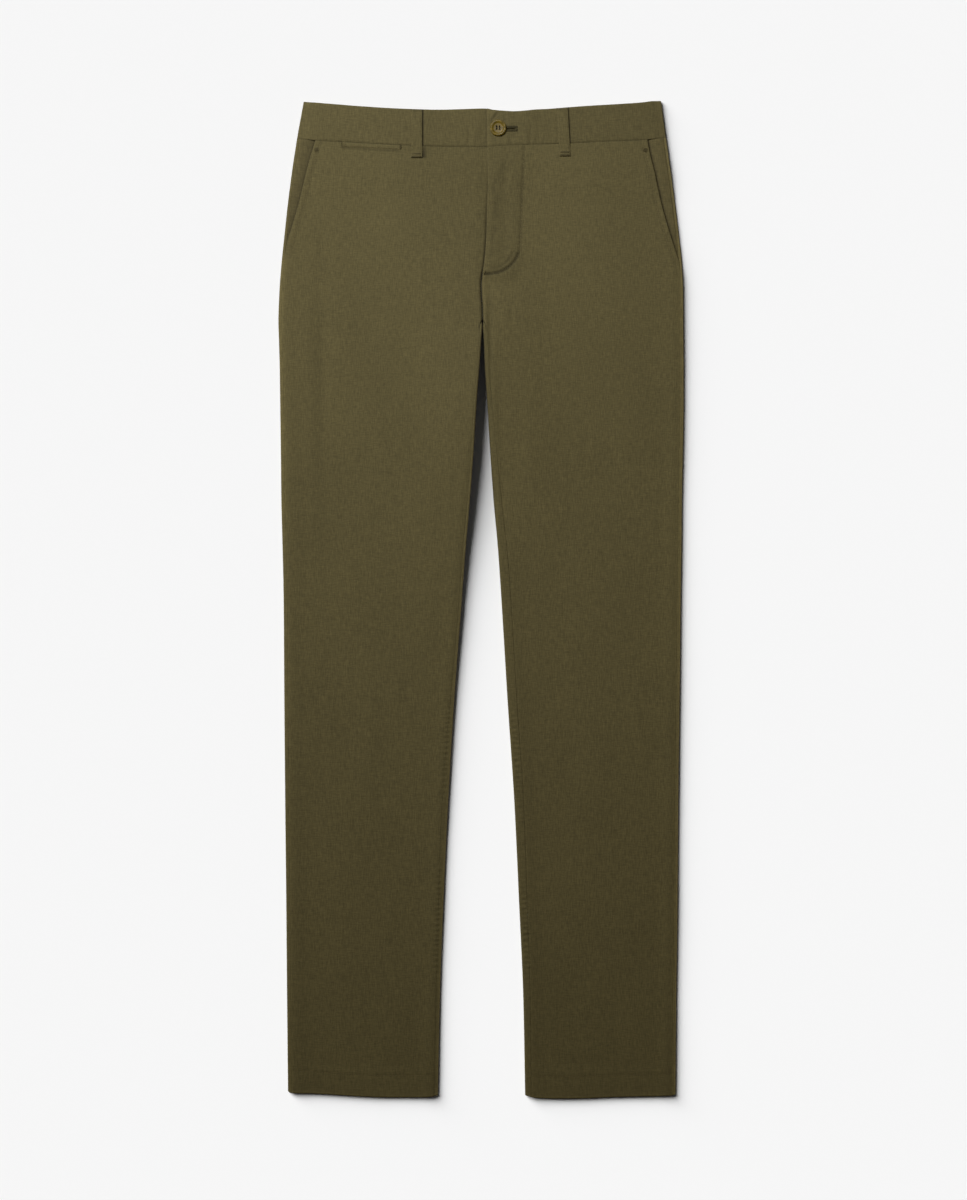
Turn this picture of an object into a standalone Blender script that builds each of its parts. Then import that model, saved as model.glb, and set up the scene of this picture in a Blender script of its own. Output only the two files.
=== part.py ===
"""Chino trousers laid flat with the front up, each cut piece a wall of cloth of its own.

Sizes are millimetres, as on a pattern, and become metres when a mesh is made. "down" is the
distance from the waistband's highest corner towards the hem, x runs across with the wearer's
left at +x, and z is the height above the surface that the trousers lie on. "u" is the distance
from the middle plane towards one leg's own side, so both halves share one set of functions.
"""

import math

import bmesh
import bpy
import numpy as np

MM = 0.001
RIGHT, LEFT = -1, 1  # the wearer's sides, as signs of x

# cloth
CLOTH = 1.2
HEM_CLOTH = 1.8
BAND = 2.0
UNDERLAP_BAND = 1.2
POCKETING = 1.0
POCKET_GAP = 0.45
LOOP = 1.3
GAP = 0.3
HALF_GAP = GAP / 2

# levels down the garment
SEAM_DOWN = 42.0
POCKET_DOWN = 330.0
CROTCH_DOWN = 229.0
LEGS_DOWN = 237.0
HEM_FOLD = 23.0
HEM_DOWN = 1045.0
WAIST_RISE = 1.5  # the waist lies on its back belt loops
WAIST_RISE_ENDS = (64.0, 112.0)

# heights of the two layers above the underside
STACK_BODY = 4.2
STACK_LEG = 3.2
STACK_HEM = 4.2
EDGE_BODY = 5.2
EDGE_LEG = 5.0
EDGE_WAIST = 4.6
EDGE_ROLL = 2.4  # half-width of the rolled edge
SWELL_SPREAD = 24.0
LIFT_SPREAD = 55.0
BACK_SEAM_X = 1.0

# fly
FLY_WIDTH = 38.0
FLY_CURVE_DOWN = 146.0
FLY_END_DOWN = 180.0
FLY_DIP = 1.3
FLY_RISE = 1.3
FLY_FADE = 14.0
ZIP_FROM_EDGE = 4.0
ZIP_TAPE_WIDTH = 26.0
ZIP_TAPE = 0.6
ZIP_CHAIN = 0.8
ZIP_CHAIN_FROM_EDGE = 16.0
ZIP_CHAIN_WIDTH = 5.0
ZIP_DOWN = (52.0, 165.0)
ZIP_RIDGE = 0.7

# waistband
BAND_TOP = 6.0
BAND_ROLL = 2.2
BAND_ROLL_TURNS = (-60, -30, 0, 30, 60)
BAND_STATIONS = (14.0, 34.0, 56.0, 80.0, 104.0, 128.0, 150.0, 168.0, 182.0)
BAND_LAP_TOP = 7.5
BAND_LAP_X = (46.0, 66.0)
BUTTONHOLE_X = (15.5, 36.0)
BUTTONHOLE_MIDDLE = 26.0
ACROSS_BAND = (0.0, 0.22, 0.47, 0.547, 0.78, 1.0)  # the slit lies between the middle two
BUTTONHOLE_ACROSS = 2

# belt loops
LOOP_WIDTH = 11.8
LOOP_END_BLOCK = 5.5
LOOP_STAND = 0.7
LOOP_FOLDED = 0.9
LOOP_ROUNDING = 0.35
BACK_LOOP_U = 112.0
BACK_LOOP_DOWN = (9.5, 59.5)

# coin pocket welt
WELT_X = (-148.0, -84.0)
WELT_DEPTH = 5.2
WELT = 0.8

# button
BUTTON_X, BUTTON_DOWN = 17.4, 28.2
BUTTON_RADIUS = 8.5
BUTTON_THICK = 3.0
BUTTON_HOLE_RADIUS = 0.85
BUTTON_HOLE_PITCH = 1.9
STEM_RADIUS = 1.0

# side pocket bag
BAG_WIDTH = 134.0
BAG_CORNER = 60.0
BAG_SHARES = (0.0, 0.03, 0.07, 0.13, 0.22, 0.36, 0.52, 0.7, 0.86, 1.0)

# columns of the panels, as shares of their width; None is the underlap's
FRONT_SHARES = (0.0, 0.028, 0.052, 0.078, 0.105, 0.15, 0.23, 0.33, 0.44, 0.55, 0.66, 0.77, 0.87, 0.95, 1.0)
LAPPED_FRONT_SHARES = (None, None, 0.004, 0.05, 0.12, 0.22, 0.33, 0.44, 0.55, 0.66, 0.77, 0.87, 0.95, 1.0)
FIRST_FREE_SHARE = 0.028
BACK_FLOOR_SHARES = (0.08, 0.22, 0.38, 0.54, 0.68, 0.8, 0.91)
EDGE_TURNS = (90, 45, 0, -45, -90)  # degrees round the rolled edge
CLOSED_PITCH = 0.2

LEG_COLUMNS = ("down", "outer", "inner", "outseam", "inseam", "lift")
LEG_ROWS = {
    RIGHT: (
        (0, 187.0, -0.85, 2.7, 2.7, 0.0),
        (42, 194.5, -0.85, 2.7, 2.7, 0.0),
        (105, 203.5, -0.85, 2.7, 2.7, 0.0),
        (140, 207.3, -0.85, 2.7, 2.7, 1.0),
        (168, 210.2, -0.85, 2.7, 2.7, 3.0),
        (200, 212.6, -0.85, 3.2, 2.7, 5.5),
        (232, 213.7, -0.85, 3.6, 2.7, 8.0),
        (252, 213.1, 0.3, 4.0, 2.7, 9.0),
        (283, 212.3, 2.4, 4.0, 2.7, 9.0),
        (314, 211.9, 4.9, 4.0, 2.7, 9.0),
        (367, 211.2, 8.3, 4.0, 2.7, 8.8),
        (420, 210.6, 12.3, 4.0, 2.7, 8.0),
        (472, 209.3, 16.4, 4.0, 2.7, 6.8),
        (525, 208.2, 19.6, 4.0, 2.8, 5.0),
        (630, 207.5, 27.1, 4.0, 4.2, 2.5),
        (735, 206.6, 33.4, 4.0, 6.2, 1.0),
        (840, 205.5, 38.5, 4.0, 5.2, 0.0),
        (945, 204.6, 42.7, 4.0, 4.0, 0.0),
        (1045, 203.6, 45.2, 4.0, 4.0, 0.0),
    ),
    LEFT: (
        (0, 188.6, 1.15, 2.7, 2.7, 0.0),
        (42, 194.2, 1.15, 2.7, 2.7, 0.0),
        (105, 203.3, 1.15, 2.7, 2.7, 0.0),
        (140, 208.2, 1.15, 2.7, 2.7, 1.0),
        (168, 211.4, 1.15, 2.7, 2.7, 3.0),
        (200, 213.4, 1.15, 3.2, 2.7, 5.5),
        (232, 213.6, 1.15, 3.6, 2.7, 8.0),
        (252, 213.9, 2.2, 3.8, 3.0, 8.2),
        (283, 213.9, 3.5, 3.8, 3.8, 7.4),
        (314, 213.8, 5.6, 3.8, 5.0, 6.6),
        (367, 213.3, 8.8, 3.8, 7.0, 5.5),
        (420, 212.5, 12.5, 3.8, 8.5, 4.5),
        (472, 212.3, 17.2, 3.8, 9.6, 3.5),
        (525, 211.6, 20.8, 3.8, 10.0, 2.5),
        (630, 210.7, 27.2, 3.8, 10.0, 1.2),
        (735, 209.2, 34.2, 3.8, 9.8, 0.4),
        (840, 208.2, 39.2, 3.8, 8.6, 0.0),
        (945, 206.3, 43.8, 3.8, 7.4, 0.0),
        (1045, 205.2, 45.7, 3.8, 6.4, 0.0),
    ),
}

TOP_EDGE_COLUMNS = ("x", "down")
TOP_EDGE_ROWS = (
    (-187, 0.9), (-149, 4.2), (-123, 6.2), (-98, 7.8), (-73, 8.9), (-46, 9.6), (-20, 9.0),
    (4, 8.3), (12, 9.9), (22, 10.8), (34, 11.4), (46, 10.7), (56, 9.5), (72, 8.6), (95, 6.7),
    (120, 5.0), (146, 3.5), (170, 1.7), (179, 0.4), (189, 0.0),
)
WAIST_SEAM_ROWS = (
    (-194, 38.6), (-172, 41.3), (-149, 42.4), (-110, 44.6), (-77, 46.2), (-20, 47.6), (5, 47.8),
    (19, 46.8), (61, 45.2), (82, 44.4), (130, 42.3), (171, 40.4), (194, 38.0),
)
HEM_ROWS = (
    (-204, 1040.0), (-198, 1042.4), (-178, 1043.4), (-128, 1046.2), (-102, 1047.3), (-69, 1047.3),
    (-52, 1046.6), (-45, 1044.6), (45, 1045.0), (55, 1047.6), (80, 1048.6), (105, 1048.4),
    (131, 1047.3), (198, 1045.3), (206, 1042.2),
)

SLANT_COLUMNS = ("down", "outer")
SLANT_ROWS = {
    RIGHT: ((40, 174.0), (56, 179.0), (79, 185.2), (98, 189.7), (116, 194.6), (133, 199.6),
            (145, 203.3), (170, 208.3)),
    LEFT: ((40, 174.0), (52, 176.1), (77, 182.2), (90, 184.9), (112, 190.0), (132, 195.6),
           (161, 205.0), (178, 211.2)),
}
SLANT_END = {RIGHT: 158.0, LEFT: 166.0}

FLY_COLUMNS = ("down", "x")
FLY_ROWS = (
    (40, 5.8), (84, 6.6), (108, 5.7), (146, 4.6), (168, 2.8), (181, 0.9), (194, -0.5), (206, -0.2),
    (217, 0.8), (229, 1.0),
)

LOOP_COLUMNS = ("side", "top_x", "end_x", "end_down")
LOOP_ROWS = ((RIGHT, -68.4, -68.2, 60.4), (LEFT, 84.6, 87.4, 58.8))

# soft ridges of the front, along a straight line each
FOLD_COLUMNS = ("side", "u_from", "down_from", "u_to", "down_to", "width", "height")
FOLD_ROWS = (
    (RIGHT, 186, 150, 176, 400, 12, 0.8),
    (RIGHT, 148, 160, 150, 390, 16, 0.7),
    (RIGHT, 26, 262, 30, 430, 13, 1.1),
    (LEFT, 44, 232, 58, 470, 14, 0.9),
    (LEFT, 12, 250, 22, 480, 6, 0.9),
    (RIGHT, 120, 560, 128, 830, 16, 0.7),
    (LEFT, 118, 600, 112, 860, 17, 0.7),
)


class Table:
    """Sizes under named columns, read as smooth curves along the first column, with no overshoot."""

    def __init__(self, names, rows):
        self.values = {name: np.array(column, float) for name, column in zip(names, zip(*rows))}
        self.along = self.values[names[0]]

    def slope(self, values, i):
        chords = np.diff(values) / np.diff(self.along)
        if i == 0 or i == len(values) - 1:
            return chords[0 if i == 0 else -1]
        before, after = chords[i - 1], chords[i]
        return 0.0 if before * after <= 0 else 2 * before * after / (before + after)

    def at(self, name, place):
        values = self.values[name]
        i = int(np.clip(np.searchsorted(self.along, place) - 1, 0, len(self.along) - 2))
        span = self.along[i + 1] - self.along[i]
        t = min(max((place - self.along[i]) / span, 0.0), 1.0)
        start, end = self.slope(values, i) * span, self.slope(values, i + 1) * span
        return float(
            values[i] * (1 + 2 * t) * (1 - t) ** 2
            + start * t * (1 - t) ** 2
            + values[i + 1] * t * t * (3 - 2 * t)
            + end * t * t * (t - 1)
        )


LEGS = {side: Table(LEG_COLUMNS, rows) for side, rows in LEG_ROWS.items()}
SLANTS = {side: Table(SLANT_COLUMNS, rows) for side, rows in SLANT_ROWS.items()}
TOP_EDGE = Table(TOP_EDGE_COLUMNS, TOP_EDGE_ROWS)
WAIST_SEAM = Table(TOP_EDGE_COLUMNS, WAIST_SEAM_ROWS)
HEM = Table(TOP_EDGE_COLUMNS, HEM_ROWS)
FLY = Table(FLY_COLUMNS, FLY_ROWS)
FOLDS = [dict(zip(FOLD_COLUMNS, row)) for row in FOLD_ROWS]


def ease(value, start, end):
    t = min(max((value - start) / (end - start), 0.0), 1.0)
    return t * t * (3 - 2 * t)


def mix(a, b, share):
    return a + (b - a) * share


def bell(distance, width):
    return math.exp(-((distance / width) ** 2))


# ---- the garment's lines, as functions of "down"


def outer_edge(side, down):
    return LEGS[side].at("outer", down)


def inner_edge(side, down):
    return LEGS[side].at("inner", down)


def fly_u(side, down):
    """The middle front line: the fly's edge, then the short seam down to the crotch."""
    return side * FLY.at("x", down) + HALF_GAP


def fly_shown(down):
    return 1 - ease(down, FLY_END_DOWN, FLY_END_DOWN + FLY_FADE)


def underlap(down):
    """How far the right front runs on under the left one, rounded off at its lower end."""
    t = (down - FLY_CURVE_DOWN) / (FLY_END_DOWN - FLY_CURVE_DOWN)
    return FLY_WIDTH * math.sqrt(max(0.0, 1 - max(0.0, t) ** 2))


def cloth(down):
    return mix(CLOTH, HEM_CLOTH, ease(down, HEM_DOWN - HEM_FOLD - 5, HEM_DOWN - HEM_FOLD))


def pocket_drop(side, down):
    """How far the pocket and the back lie below the front along the slant."""
    return (CLOTH + GAP) * (1 - ease(down, SLANT_END[side], SLANT_END[side] + 20))


def curved_down(x, down):
    """A row's own level: the first rows follow the waist seam and the last ones the hem."""
    seam = WAIST_SEAM.at("down", x) + GAP - SEAM_DOWN
    hem = HEM.at("down", x) - HEM_DOWN
    return down + seam * (1 - ease(down, SEAM_DOWN, 85)) + hem * ease(down, HEM_DOWN - 60, HEM_DOWN)


# ---- heights above the surface


def underside(side, u, down):
    from_edge = abs(u - inner_edge(side, down))
    lift = LEGS[side].at("lift", down) * (1 - ease(from_edge, 0, LIFT_SPREAD))
    return lift + WAIST_RISE * (1 - ease(down, *WAIST_RISE_ENDS))


def stack(down):
    body = mix(STACK_BODY, STACK_LEG, ease(down, POCKET_DOWN, POCKET_DOWN + 80))
    return mix(body, STACK_HEM, ease(down, HEM_DOWN - HEM_FOLD - 5, HEM_DOWN - HEM_FOLD))


def edge_height(down):
    waist = mix(EDGE_WAIST, EDGE_BODY, ease(down, 45, 95))
    return mix(waist, EDGE_LEG, ease(down, POCKET_DOWN, POCKET_DOWN + 80))


def folds(side, u, down):
    height = 0.0
    for fold in FOLDS:
        t = (down - fold["down_from"]) / (fold["down_to"] - fold["down_from"])
        if fold["side"] == side and 0 < t < 1:
            across = u - mix(fold["u_from"], fold["u_to"], t)
            height += fold["height"] * math.sin(math.pi * t) * bell(across, fold["width"])
    return height


def front_height(side, u, down):
    """The front's upper face, before the fly."""
    flat = stack(down)
    swell = edge_height(down) - flat
    at_outer = 1 - ease(outer_edge(side, down) - u, EDGE_ROLL, SWELL_SPREAD)
    at_inner = 1 - ease(u - inner_edge(side, down), EDGE_ROLL, SWELL_SPREAD)
    at_inner *= ease(down, CROTCH_DOWN - 6, CROTCH_DOWN + 30)
    return underside(side, u, down) + flat + swell * max(at_outer, at_inner) + folds(side, u, down)


def fly_rise(from_edge, down):
    """How far the left front stands over the underlap and the zip."""
    spread = mix(38, 22, ease(down, 48, 95))
    rise = FLY_RISE * (1 - ease(from_edge, spread, spread + 24))
    ridge_end = 1 - ease(down, ZIP_DOWN[1], FLY_END_DOWN)
    return (rise + ZIP_RIDGE * ridge_end * bell(from_edge - ZIP_CHAIN_FROM_EDGE, 6)) * fly_shown(down)


def fly_dip(from_edge, down):
    """How far the right front sinks as it passes under the left one."""
    return FLY_DIP * ease(from_edge, -10, -1) * fly_shown(down)


def band_height(side, u):
    """The upper face of the waistband's front."""
    if side == RIGHT:
        thinner = BAND - UNDERLAP_BAND
        return BAND_TOP - thinner * ease(-u, -fly_u(RIGHT, 30) - 10, -fly_u(RIGHT, 30) - 1)
    return mix(BAND_LAP_TOP, BAND_TOP, ease(u, *BAND_LAP_X))


# ---- meshes


def new_material(name, colour, roughness):
    material = bpy.data.materials.new(name)
    material.use_nodes = True
    shader = material.node_tree.nodes["Principled BSDF"]
    shader.inputs["Base Color"].default_value = (*colour, 1)
    shader.inputs["Roughness"].default_value = roughness
    shader.inputs["Metallic"].default_value = 0.0
    return material


def new_object(name, mesh_maker, material, at=(0.0, 0.0, 0.0)):
    """An object under the garment's empty, placed at (x, down, z) in millimetres."""
    mesh = bpy.data.meshes.new(name)
    mesh_maker.to_mesh(mesh)
    mesh_maker.free()
    mesh.materials.append(material)
    mesh.shade_smooth()
    mesh.set_sharp_from_angle(angle=math.radians(40))
    piece = bpy.data.objects.new(name, mesh)
    piece.location = (at[0] * MM, -at[1] * MM, at[2] * MM)
    piece.parent = GARMENT
    bpy.context.collection.objects.link(piece)
    return piece


def wall(outer, inner, hole=None):
    """A closed wall between two grids of (x, down, z) points.

    hole is a span of rows and one column of cells: the wall is cut through there.
    """
    rows, columns = len(outer), len(outer[0])
    made = bmesh.new()
    upper, lower = (
        [[made.verts.new((x * MM, -down * MM, z * MM)) for x, down, z in row] for row in grid]
        for grid in (outer, inner)
    )

    def in_hole(i, j):
        return hole is not None and hole[0] <= i < hole[1] and j == hole[2]

    def side_face(a, b):
        made.faces.new((upper[a[0]][a[1]], lower[a[0]][a[1]], lower[b[0]][b[1]], upper[b[0]][b[1]]))

    rim = set()
    for i in range(rows - 1):
        for j in range(columns - 1):
            if in_hole(i, j):
                continue
            corners = ((i, j), (i + 1, j), (i + 1, j + 1), (i, j + 1))
            made.faces.new([upper[a][b] for a, b in corners])
            made.faces.new([lower[a][b] for a, b in reversed(corners)])
            for a, b in zip(corners, corners[1:] + corners[:1]):
                rim ^= {frozenset((a, b))}
    for edge in sorted(rim, key=sorted):
        side_face(*sorted(edge))
    bmesh.ops.recalc_face_normals(made, faces=made.faces)
    return made


def grid_points(row_levels, column_count, point):
    """Upper and lower grids from point(row level, column) -> ((x, down, z), (x, down, z))."""
    pairs = [[point(level, j) for j in range(column_count)] for level in row_levels]
    return [[[pair[k] for pair in row] for row in pairs] for k in (0, 1)]


def panel_levels():
    """The rows of a front or back: even ones with more at the fly's end, the crotch and the hem."""
    body = np.linspace(SEAM_DOWN, FLY_END_DOWN, 13)
    to_crotch = (FLY_END_DOWN + FLY_FADE / 2, FLY_END_DOWN + FLY_FADE, 211, CROTCH_DOWN)
    thigh = np.linspace(LEGS_DOWN, POCKET_DOWN + 80, 7)
    leg = np.linspace(POCKET_DOWN + 80, HEM_DOWN - 40, 11)[1:]
    hem = (HEM_DOWN - HEM_FOLD - 5, HEM_DOWN - HEM_FOLD, HEM_DOWN - 10, HEM_DOWN)
    return [float(level) for level in (*body, *to_crotch, *thigh, *leg, *hem)]


# ---- fronts


def front_outer(side, down):
    """The front's outer edge: the pocket's slant, then the outseam."""
    outseam = outer_edge(side, down) - LEGS[side].at("outseam", down) - HALF_GAP
    if down >= SLANT_END[side] + 8:
        return outseam
    return min(SLANTS[side].at("outer", down), outseam)


def front_inner(side, down):
    if down <= CROTCH_DOWN:
        return fly_u(side, down)
    return inner_edge(side, down) + LEGS[side].at("inseam", down) + HALF_GAP


def make_front(side, name, material):
    """The left front ends at the fly's edge. The right one runs on under it."""
    lapped = side == RIGHT
    shares = LAPPED_FRONT_SHARES if lapped else FRONT_SHARES

    def column_u(j, down):
        inner, outer = front_inner(side, down), front_outer(side, down)
        if shares[j] is not None:
            widened = max(shares[j], FIRST_FREE_SHARE) if lapped else shares[j]
            return mix(inner, outer, mix(shares[j], widened, ease(down, FLY_END_DOWN, LEGS_DOWN)))
        end = inner - underlap(down)
        return end if j == 0 else (end + column_u(2, down)) / 2

    def point(level, j):
        down = curved_down(side * column_u(j, level), level)
        u = column_u(j, down)
        z = front_height(side, u, down)
        from_edge = u - fly_u(side, down)
        if down <= FLY_END_DOWN + FLY_FADE:
            z += -fly_dip(-from_edge, down) if lapped else fly_rise(from_edge, down)
        return (side * u, down, z), (side * u, down, z - cloth(down))

    outer, inner = grid_points(panel_levels(), len(shares), point)
    return new_object(name, wall(outer, inner), material)


# ---- backs


def make_back(side, name, material):
    """Runs from the outseam on the upper face round the edge, along the floor, and round to the inseam.

    Above the crotch the last columns close up against the middle back seam instead.
    """
    columns = [("outseam", 0)]
    columns += [("outer", angle) for angle in EDGE_TURNS]
    columns += [("floor", share) for share in BACK_FLOOR_SHARES]
    columns += [("inner", angle) for angle in reversed(EDGE_TURNS)]
    columns += [("inseam", 0)]

    def rolled(edge, towards, angle, low, high, thick):
        """A point of the rolled edge and its inner partner."""
        cos, sin = math.cos(math.radians(angle)), math.sin(math.radians(angle))
        middle, half = (low + high) / 2, (high - low) / 2
        centre = edge + towards * EDGE_ROLL
        return (
            (centre - towards * EDGE_ROLL * cos, middle + half * sin),
            (centre - towards * (EDGE_ROLL - thick) * cos, middle + (half - thick) * sin),
        )

    def section(kind, value, down, open_leg):
        thick = cloth(down)
        outer, inner = outer_edge(side, down), inner_edge(side, down)
        drop = pocket_drop(side, down)
        if kind == "outseam":
            u = outer - LEGS[side].at("outseam", down) + HALF_GAP
            z = front_height(side, u, down) - drop
            return (u, z), (u, z - thick)
        if kind == "outer":
            high = front_height(side, outer - EDGE_ROLL, down) - drop
            return rolled(outer, -1, value, underside(side, outer, down), high, thick)
        if kind == "floor":
            u = mix(outer - EDGE_ROLL, inner + EDGE_ROLL, value)
            z = underside(side, u, down)
            return (u, z), (u, z + thick)
        if not open_leg:
            steps = 0 if kind == "inseam" else 1 + EDGE_TURNS.index(value)
            u = side * BACK_SEAM_X + HALF_GAP + steps * CLOSED_PITCH
            z = underside(side, u, down)
            return (u, z), (u, z + thick)
        if kind == "inner":
            high = front_height(side, inner + EDGE_ROLL, down)
            return rolled(inner, 1, value, underside(side, inner + EDGE_ROLL, down), high, thick)
        u = inner + LEGS[side].at("inseam", down) - HALF_GAP
        z = front_height(side, u, down)
        return (u, z), (u, z - thick)

    def point(level, j):
        kind, value = columns[j]
        open_leg = level > CROTCH_DOWN
        near_u = section(kind, value, level, open_leg)[0][0]
        down = curved_down(side * near_u, level)
        outer, inner = section(kind, value, down, open_leg)
        return (side * outer[0], down, outer[1]), (side * inner[0], down, inner[1])

    outer, inner = grid_points(panel_levels(), len(columns), point)
    return new_object(name, wall(outer, inner), material)


# ---- pockets


def make_side_pocket(side, name, material):
    """The bearer beside the slant and the bag that hangs from it under the front."""
    levels = [float(level) for level in np.linspace(SEAM_DOWN, POCKET_DOWN - 12, 17)]
    levels += [POCKET_DOWN - 4, POCKET_DOWN]

    def column_u(j, down):
        outer = outer_edge(side, down) - LEGS[side].at("outseam", down) - HALF_GAP
        outer -= 8 * ease(down, SLANT_END[side] - 20, SLANT_END[side] + 40)
        t = min(max((down - POCKET_DOWN + BAG_CORNER) / BAG_CORNER, 0.0), 1.0)
        inner = outer - BAG_WIDTH + BAG_CORNER * (1 - math.sqrt(1 - t * t))
        return mix(outer, inner, BAG_SHARES[j])

    def point(level, j):
        down = curved_down(side * column_u(j, level), level)
        u = column_u(j, down)
        z = front_height(side, u, down) - CLOTH - POCKET_GAP
        return (side * u, down, z), (side * u, down, z - POCKETING)

    outer, inner = grid_points(levels, len(BAG_SHARES), point)
    return new_object(name, wall(outer, inner), material)


def make_coin_pocket_welt(material):
    """A narrow strip laid on the right front, open along the waist seam."""
    xs = np.linspace(*WELT_X, 9)

    def point(x, j):
        down = WAIST_SEAM.at("down", x) + 2 * GAP + WELT_DEPTH * j / 2
        z = front_height(RIGHT, -x, down) + GAP
        return (x, down, z + WELT), (x, down, z)

    outer, inner = grid_points([float(x) for x in xs], 3, point)
    return new_object("coin_pocket_welt", wall(outer, inner), material)


# ---- waistband


def make_waistband(side, name, material):
    """One length of band from the middle back, round the side fold, to its front end."""
    nominal_edge = outer_edge(side, 25)
    flat = [*BAND_STATIONS, nominal_edge - BAND_ROLL]
    stations = [("back", side * BACK_SEAM_X + HALF_GAP)] + [("back", u) for u in flat]
    stations += [("fold", angle) for angle in BAND_ROLL_TURNS]
    stations += [("front", u) for u in reversed(flat[1:])]
    fly_end = fly_u(side, 30)
    if side == RIGHT:
        lap = [fly_end + 10, fly_end + 1, fly_end - FLY_WIDTH / 2, fly_end - FLY_WIDTH]
        hole = None
    else:
        stations = [row for row in stations if row[0] != "front" or row[1] > BAND_LAP_X[0]]
        lap = [BAND_LAP_X[0], BUTTONHOLE_X[1], BUTTONHOLE_MIDDLE, BUTTONHOLE_X[0], fly_end]
        hole_start = len(stations) + 1
        hole = (hole_start, hole_start + 2, BUTTONHOLE_ACROSS)
    stations += [("front", u) for u in lap]
    low = WAIST_RISE
    middle, half = (BAND_TOP + low) / 2, (BAND_TOP - low) / 2

    def section(kind, value, down):
        shift = outer_edge(side, down) - nominal_edge
        if kind == "fold":
            cos, sin = math.cos(math.radians(value)), math.sin(math.radians(value))
            centre = nominal_edge + shift - BAND_ROLL
            inner_roll = BAND_ROLL - BAND
            return (
                (centre + BAND_ROLL * cos, middle + half * sin),
                (centre + inner_roll * cos, middle + (half - BAND) * sin),
            )
        u = value + shift * ease(value, 90, nominal_edge - BAND_ROLL)
        if kind == "back":
            return (u, low), (u, low + BAND)
        top = band_height(side, u)
        thick = BAND - (BAND_TOP - top) if side == RIGHT else BAND
        return (u, top), (u, top - thick)

    def point(station, j):
        kind, value = station
        near_x = side * (nominal_edge if kind == "fold" else value)
        for _ in range(2):
            seam, top = WAIST_SEAM.at("down", near_x), TOP_EDGE.at("down", near_x)
            if kind == "back":
                top += ease(nominal_edge - abs(value), 2, 30)
            down = mix(seam, top, ACROSS_BAND[j])
            outer, inner = section(kind, value, down)
            near_x = side * outer[0]
        return (side * outer[0], down, outer[1]), (side * inner[0], down, inner[1])

    outer, inner = grid_points(stations, len(ACROSS_BAND), point)
    return new_object(name, wall(outer, inner, hole), material)


# ---- belt loops


def make_front_loop(row, name, material):
    """A strip from the band's top edge over the waist seam, folded double at its sewn end."""
    sizes = dict(zip(LOOP_COLUMNS, row))
    side = sizes["side"]
    top = TOP_EDGE.at("down", sizes["top_x"]) - 0.4
    end = sizes["end_down"]
    seam = WAIST_SEAM.at("down", sizes["end_x"])
    block_start = end - LOOP_END_BLOCK
    levels = [top, top + 5, 22.0, 32.0, 41.0, seam, block_start - 1, block_start, end - 0.8, end]

    def point(down, j):
        share = (down - top) / (end - top)
        x = mix(sizes["top_x"], sizes["end_x"], share) + LOOP_WIDTH * (j / 4 - 0.5)
        on_band = band_height(side, side * x)
        on_front = front_height(side, side * x, max(down, seam))
        base = mix(on_band, max(on_front, on_band - 0.4), ease(down, seam - 2, seam + 6))
        stand = LOOP_STAND * math.sin(math.pi * min(share / 0.85, 1.0))
        block = LOOP_FOLDED * ease(down, block_start - 1, block_start)
        rounded = LOOP_ROUNDING * (j / 2 - 1) ** 4
        thick = LOOP + block - (0.5 if down == end else 0.0) - rounded
        return (x, down, base + GAP + stand + thick), (x, down, base + GAP + stand)

    outer, inner = grid_points(levels, 5, point)
    return new_object(name, wall(outer, inner), material)


def make_back_loop(x, name, material):
    """Lies flat on the surface under the band, which rests on it."""
    levels = [float(v) for v in np.linspace(*BACK_LOOP_DOWN, 5)]
    rise = WAIST_RISE - GAP

    def point(down, j):
        return (x + LOOP_WIDTH * (j / 2 - 0.5), down, rise), (x + LOOP_WIDTH * (j / 2 - 0.5), down, 0.0)

    outer, inner = grid_points(levels, 3, point)
    return new_object(name, wall(outer, inner), material)


# ---- fly zip and button


def make_fly_zip(material):
    """Tape and closed chain, laid on the underlap."""
    chain = (ZIP_CHAIN_FROM_EDGE - ZIP_CHAIN_WIDTH / 2, ZIP_CHAIN_FROM_EDGE + ZIP_CHAIN_WIDTH / 2)
    columns = (ZIP_FROM_EDGE, chain[0] - 0.6, *chain, chain[1] + 0.6, ZIP_FROM_EDGE + ZIP_TAPE_WIDTH)
    heights = (0.0, 0.0, ZIP_CHAIN, ZIP_CHAIN, 0.0, 0.0)

    def point(down, j):
        x = FLY.at("x", down) + columns[j]
        under = front_height(RIGHT, -x, down) - FLY_DIP + GAP
        return (x, down, under + ZIP_TAPE + heights[j]), (x, down, under)

    outer, inner = grid_points([float(v) for v in np.linspace(*ZIP_DOWN, 10)], len(columns), point)
    return new_object("fly_zip", wall(outer, inner), material)


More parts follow.
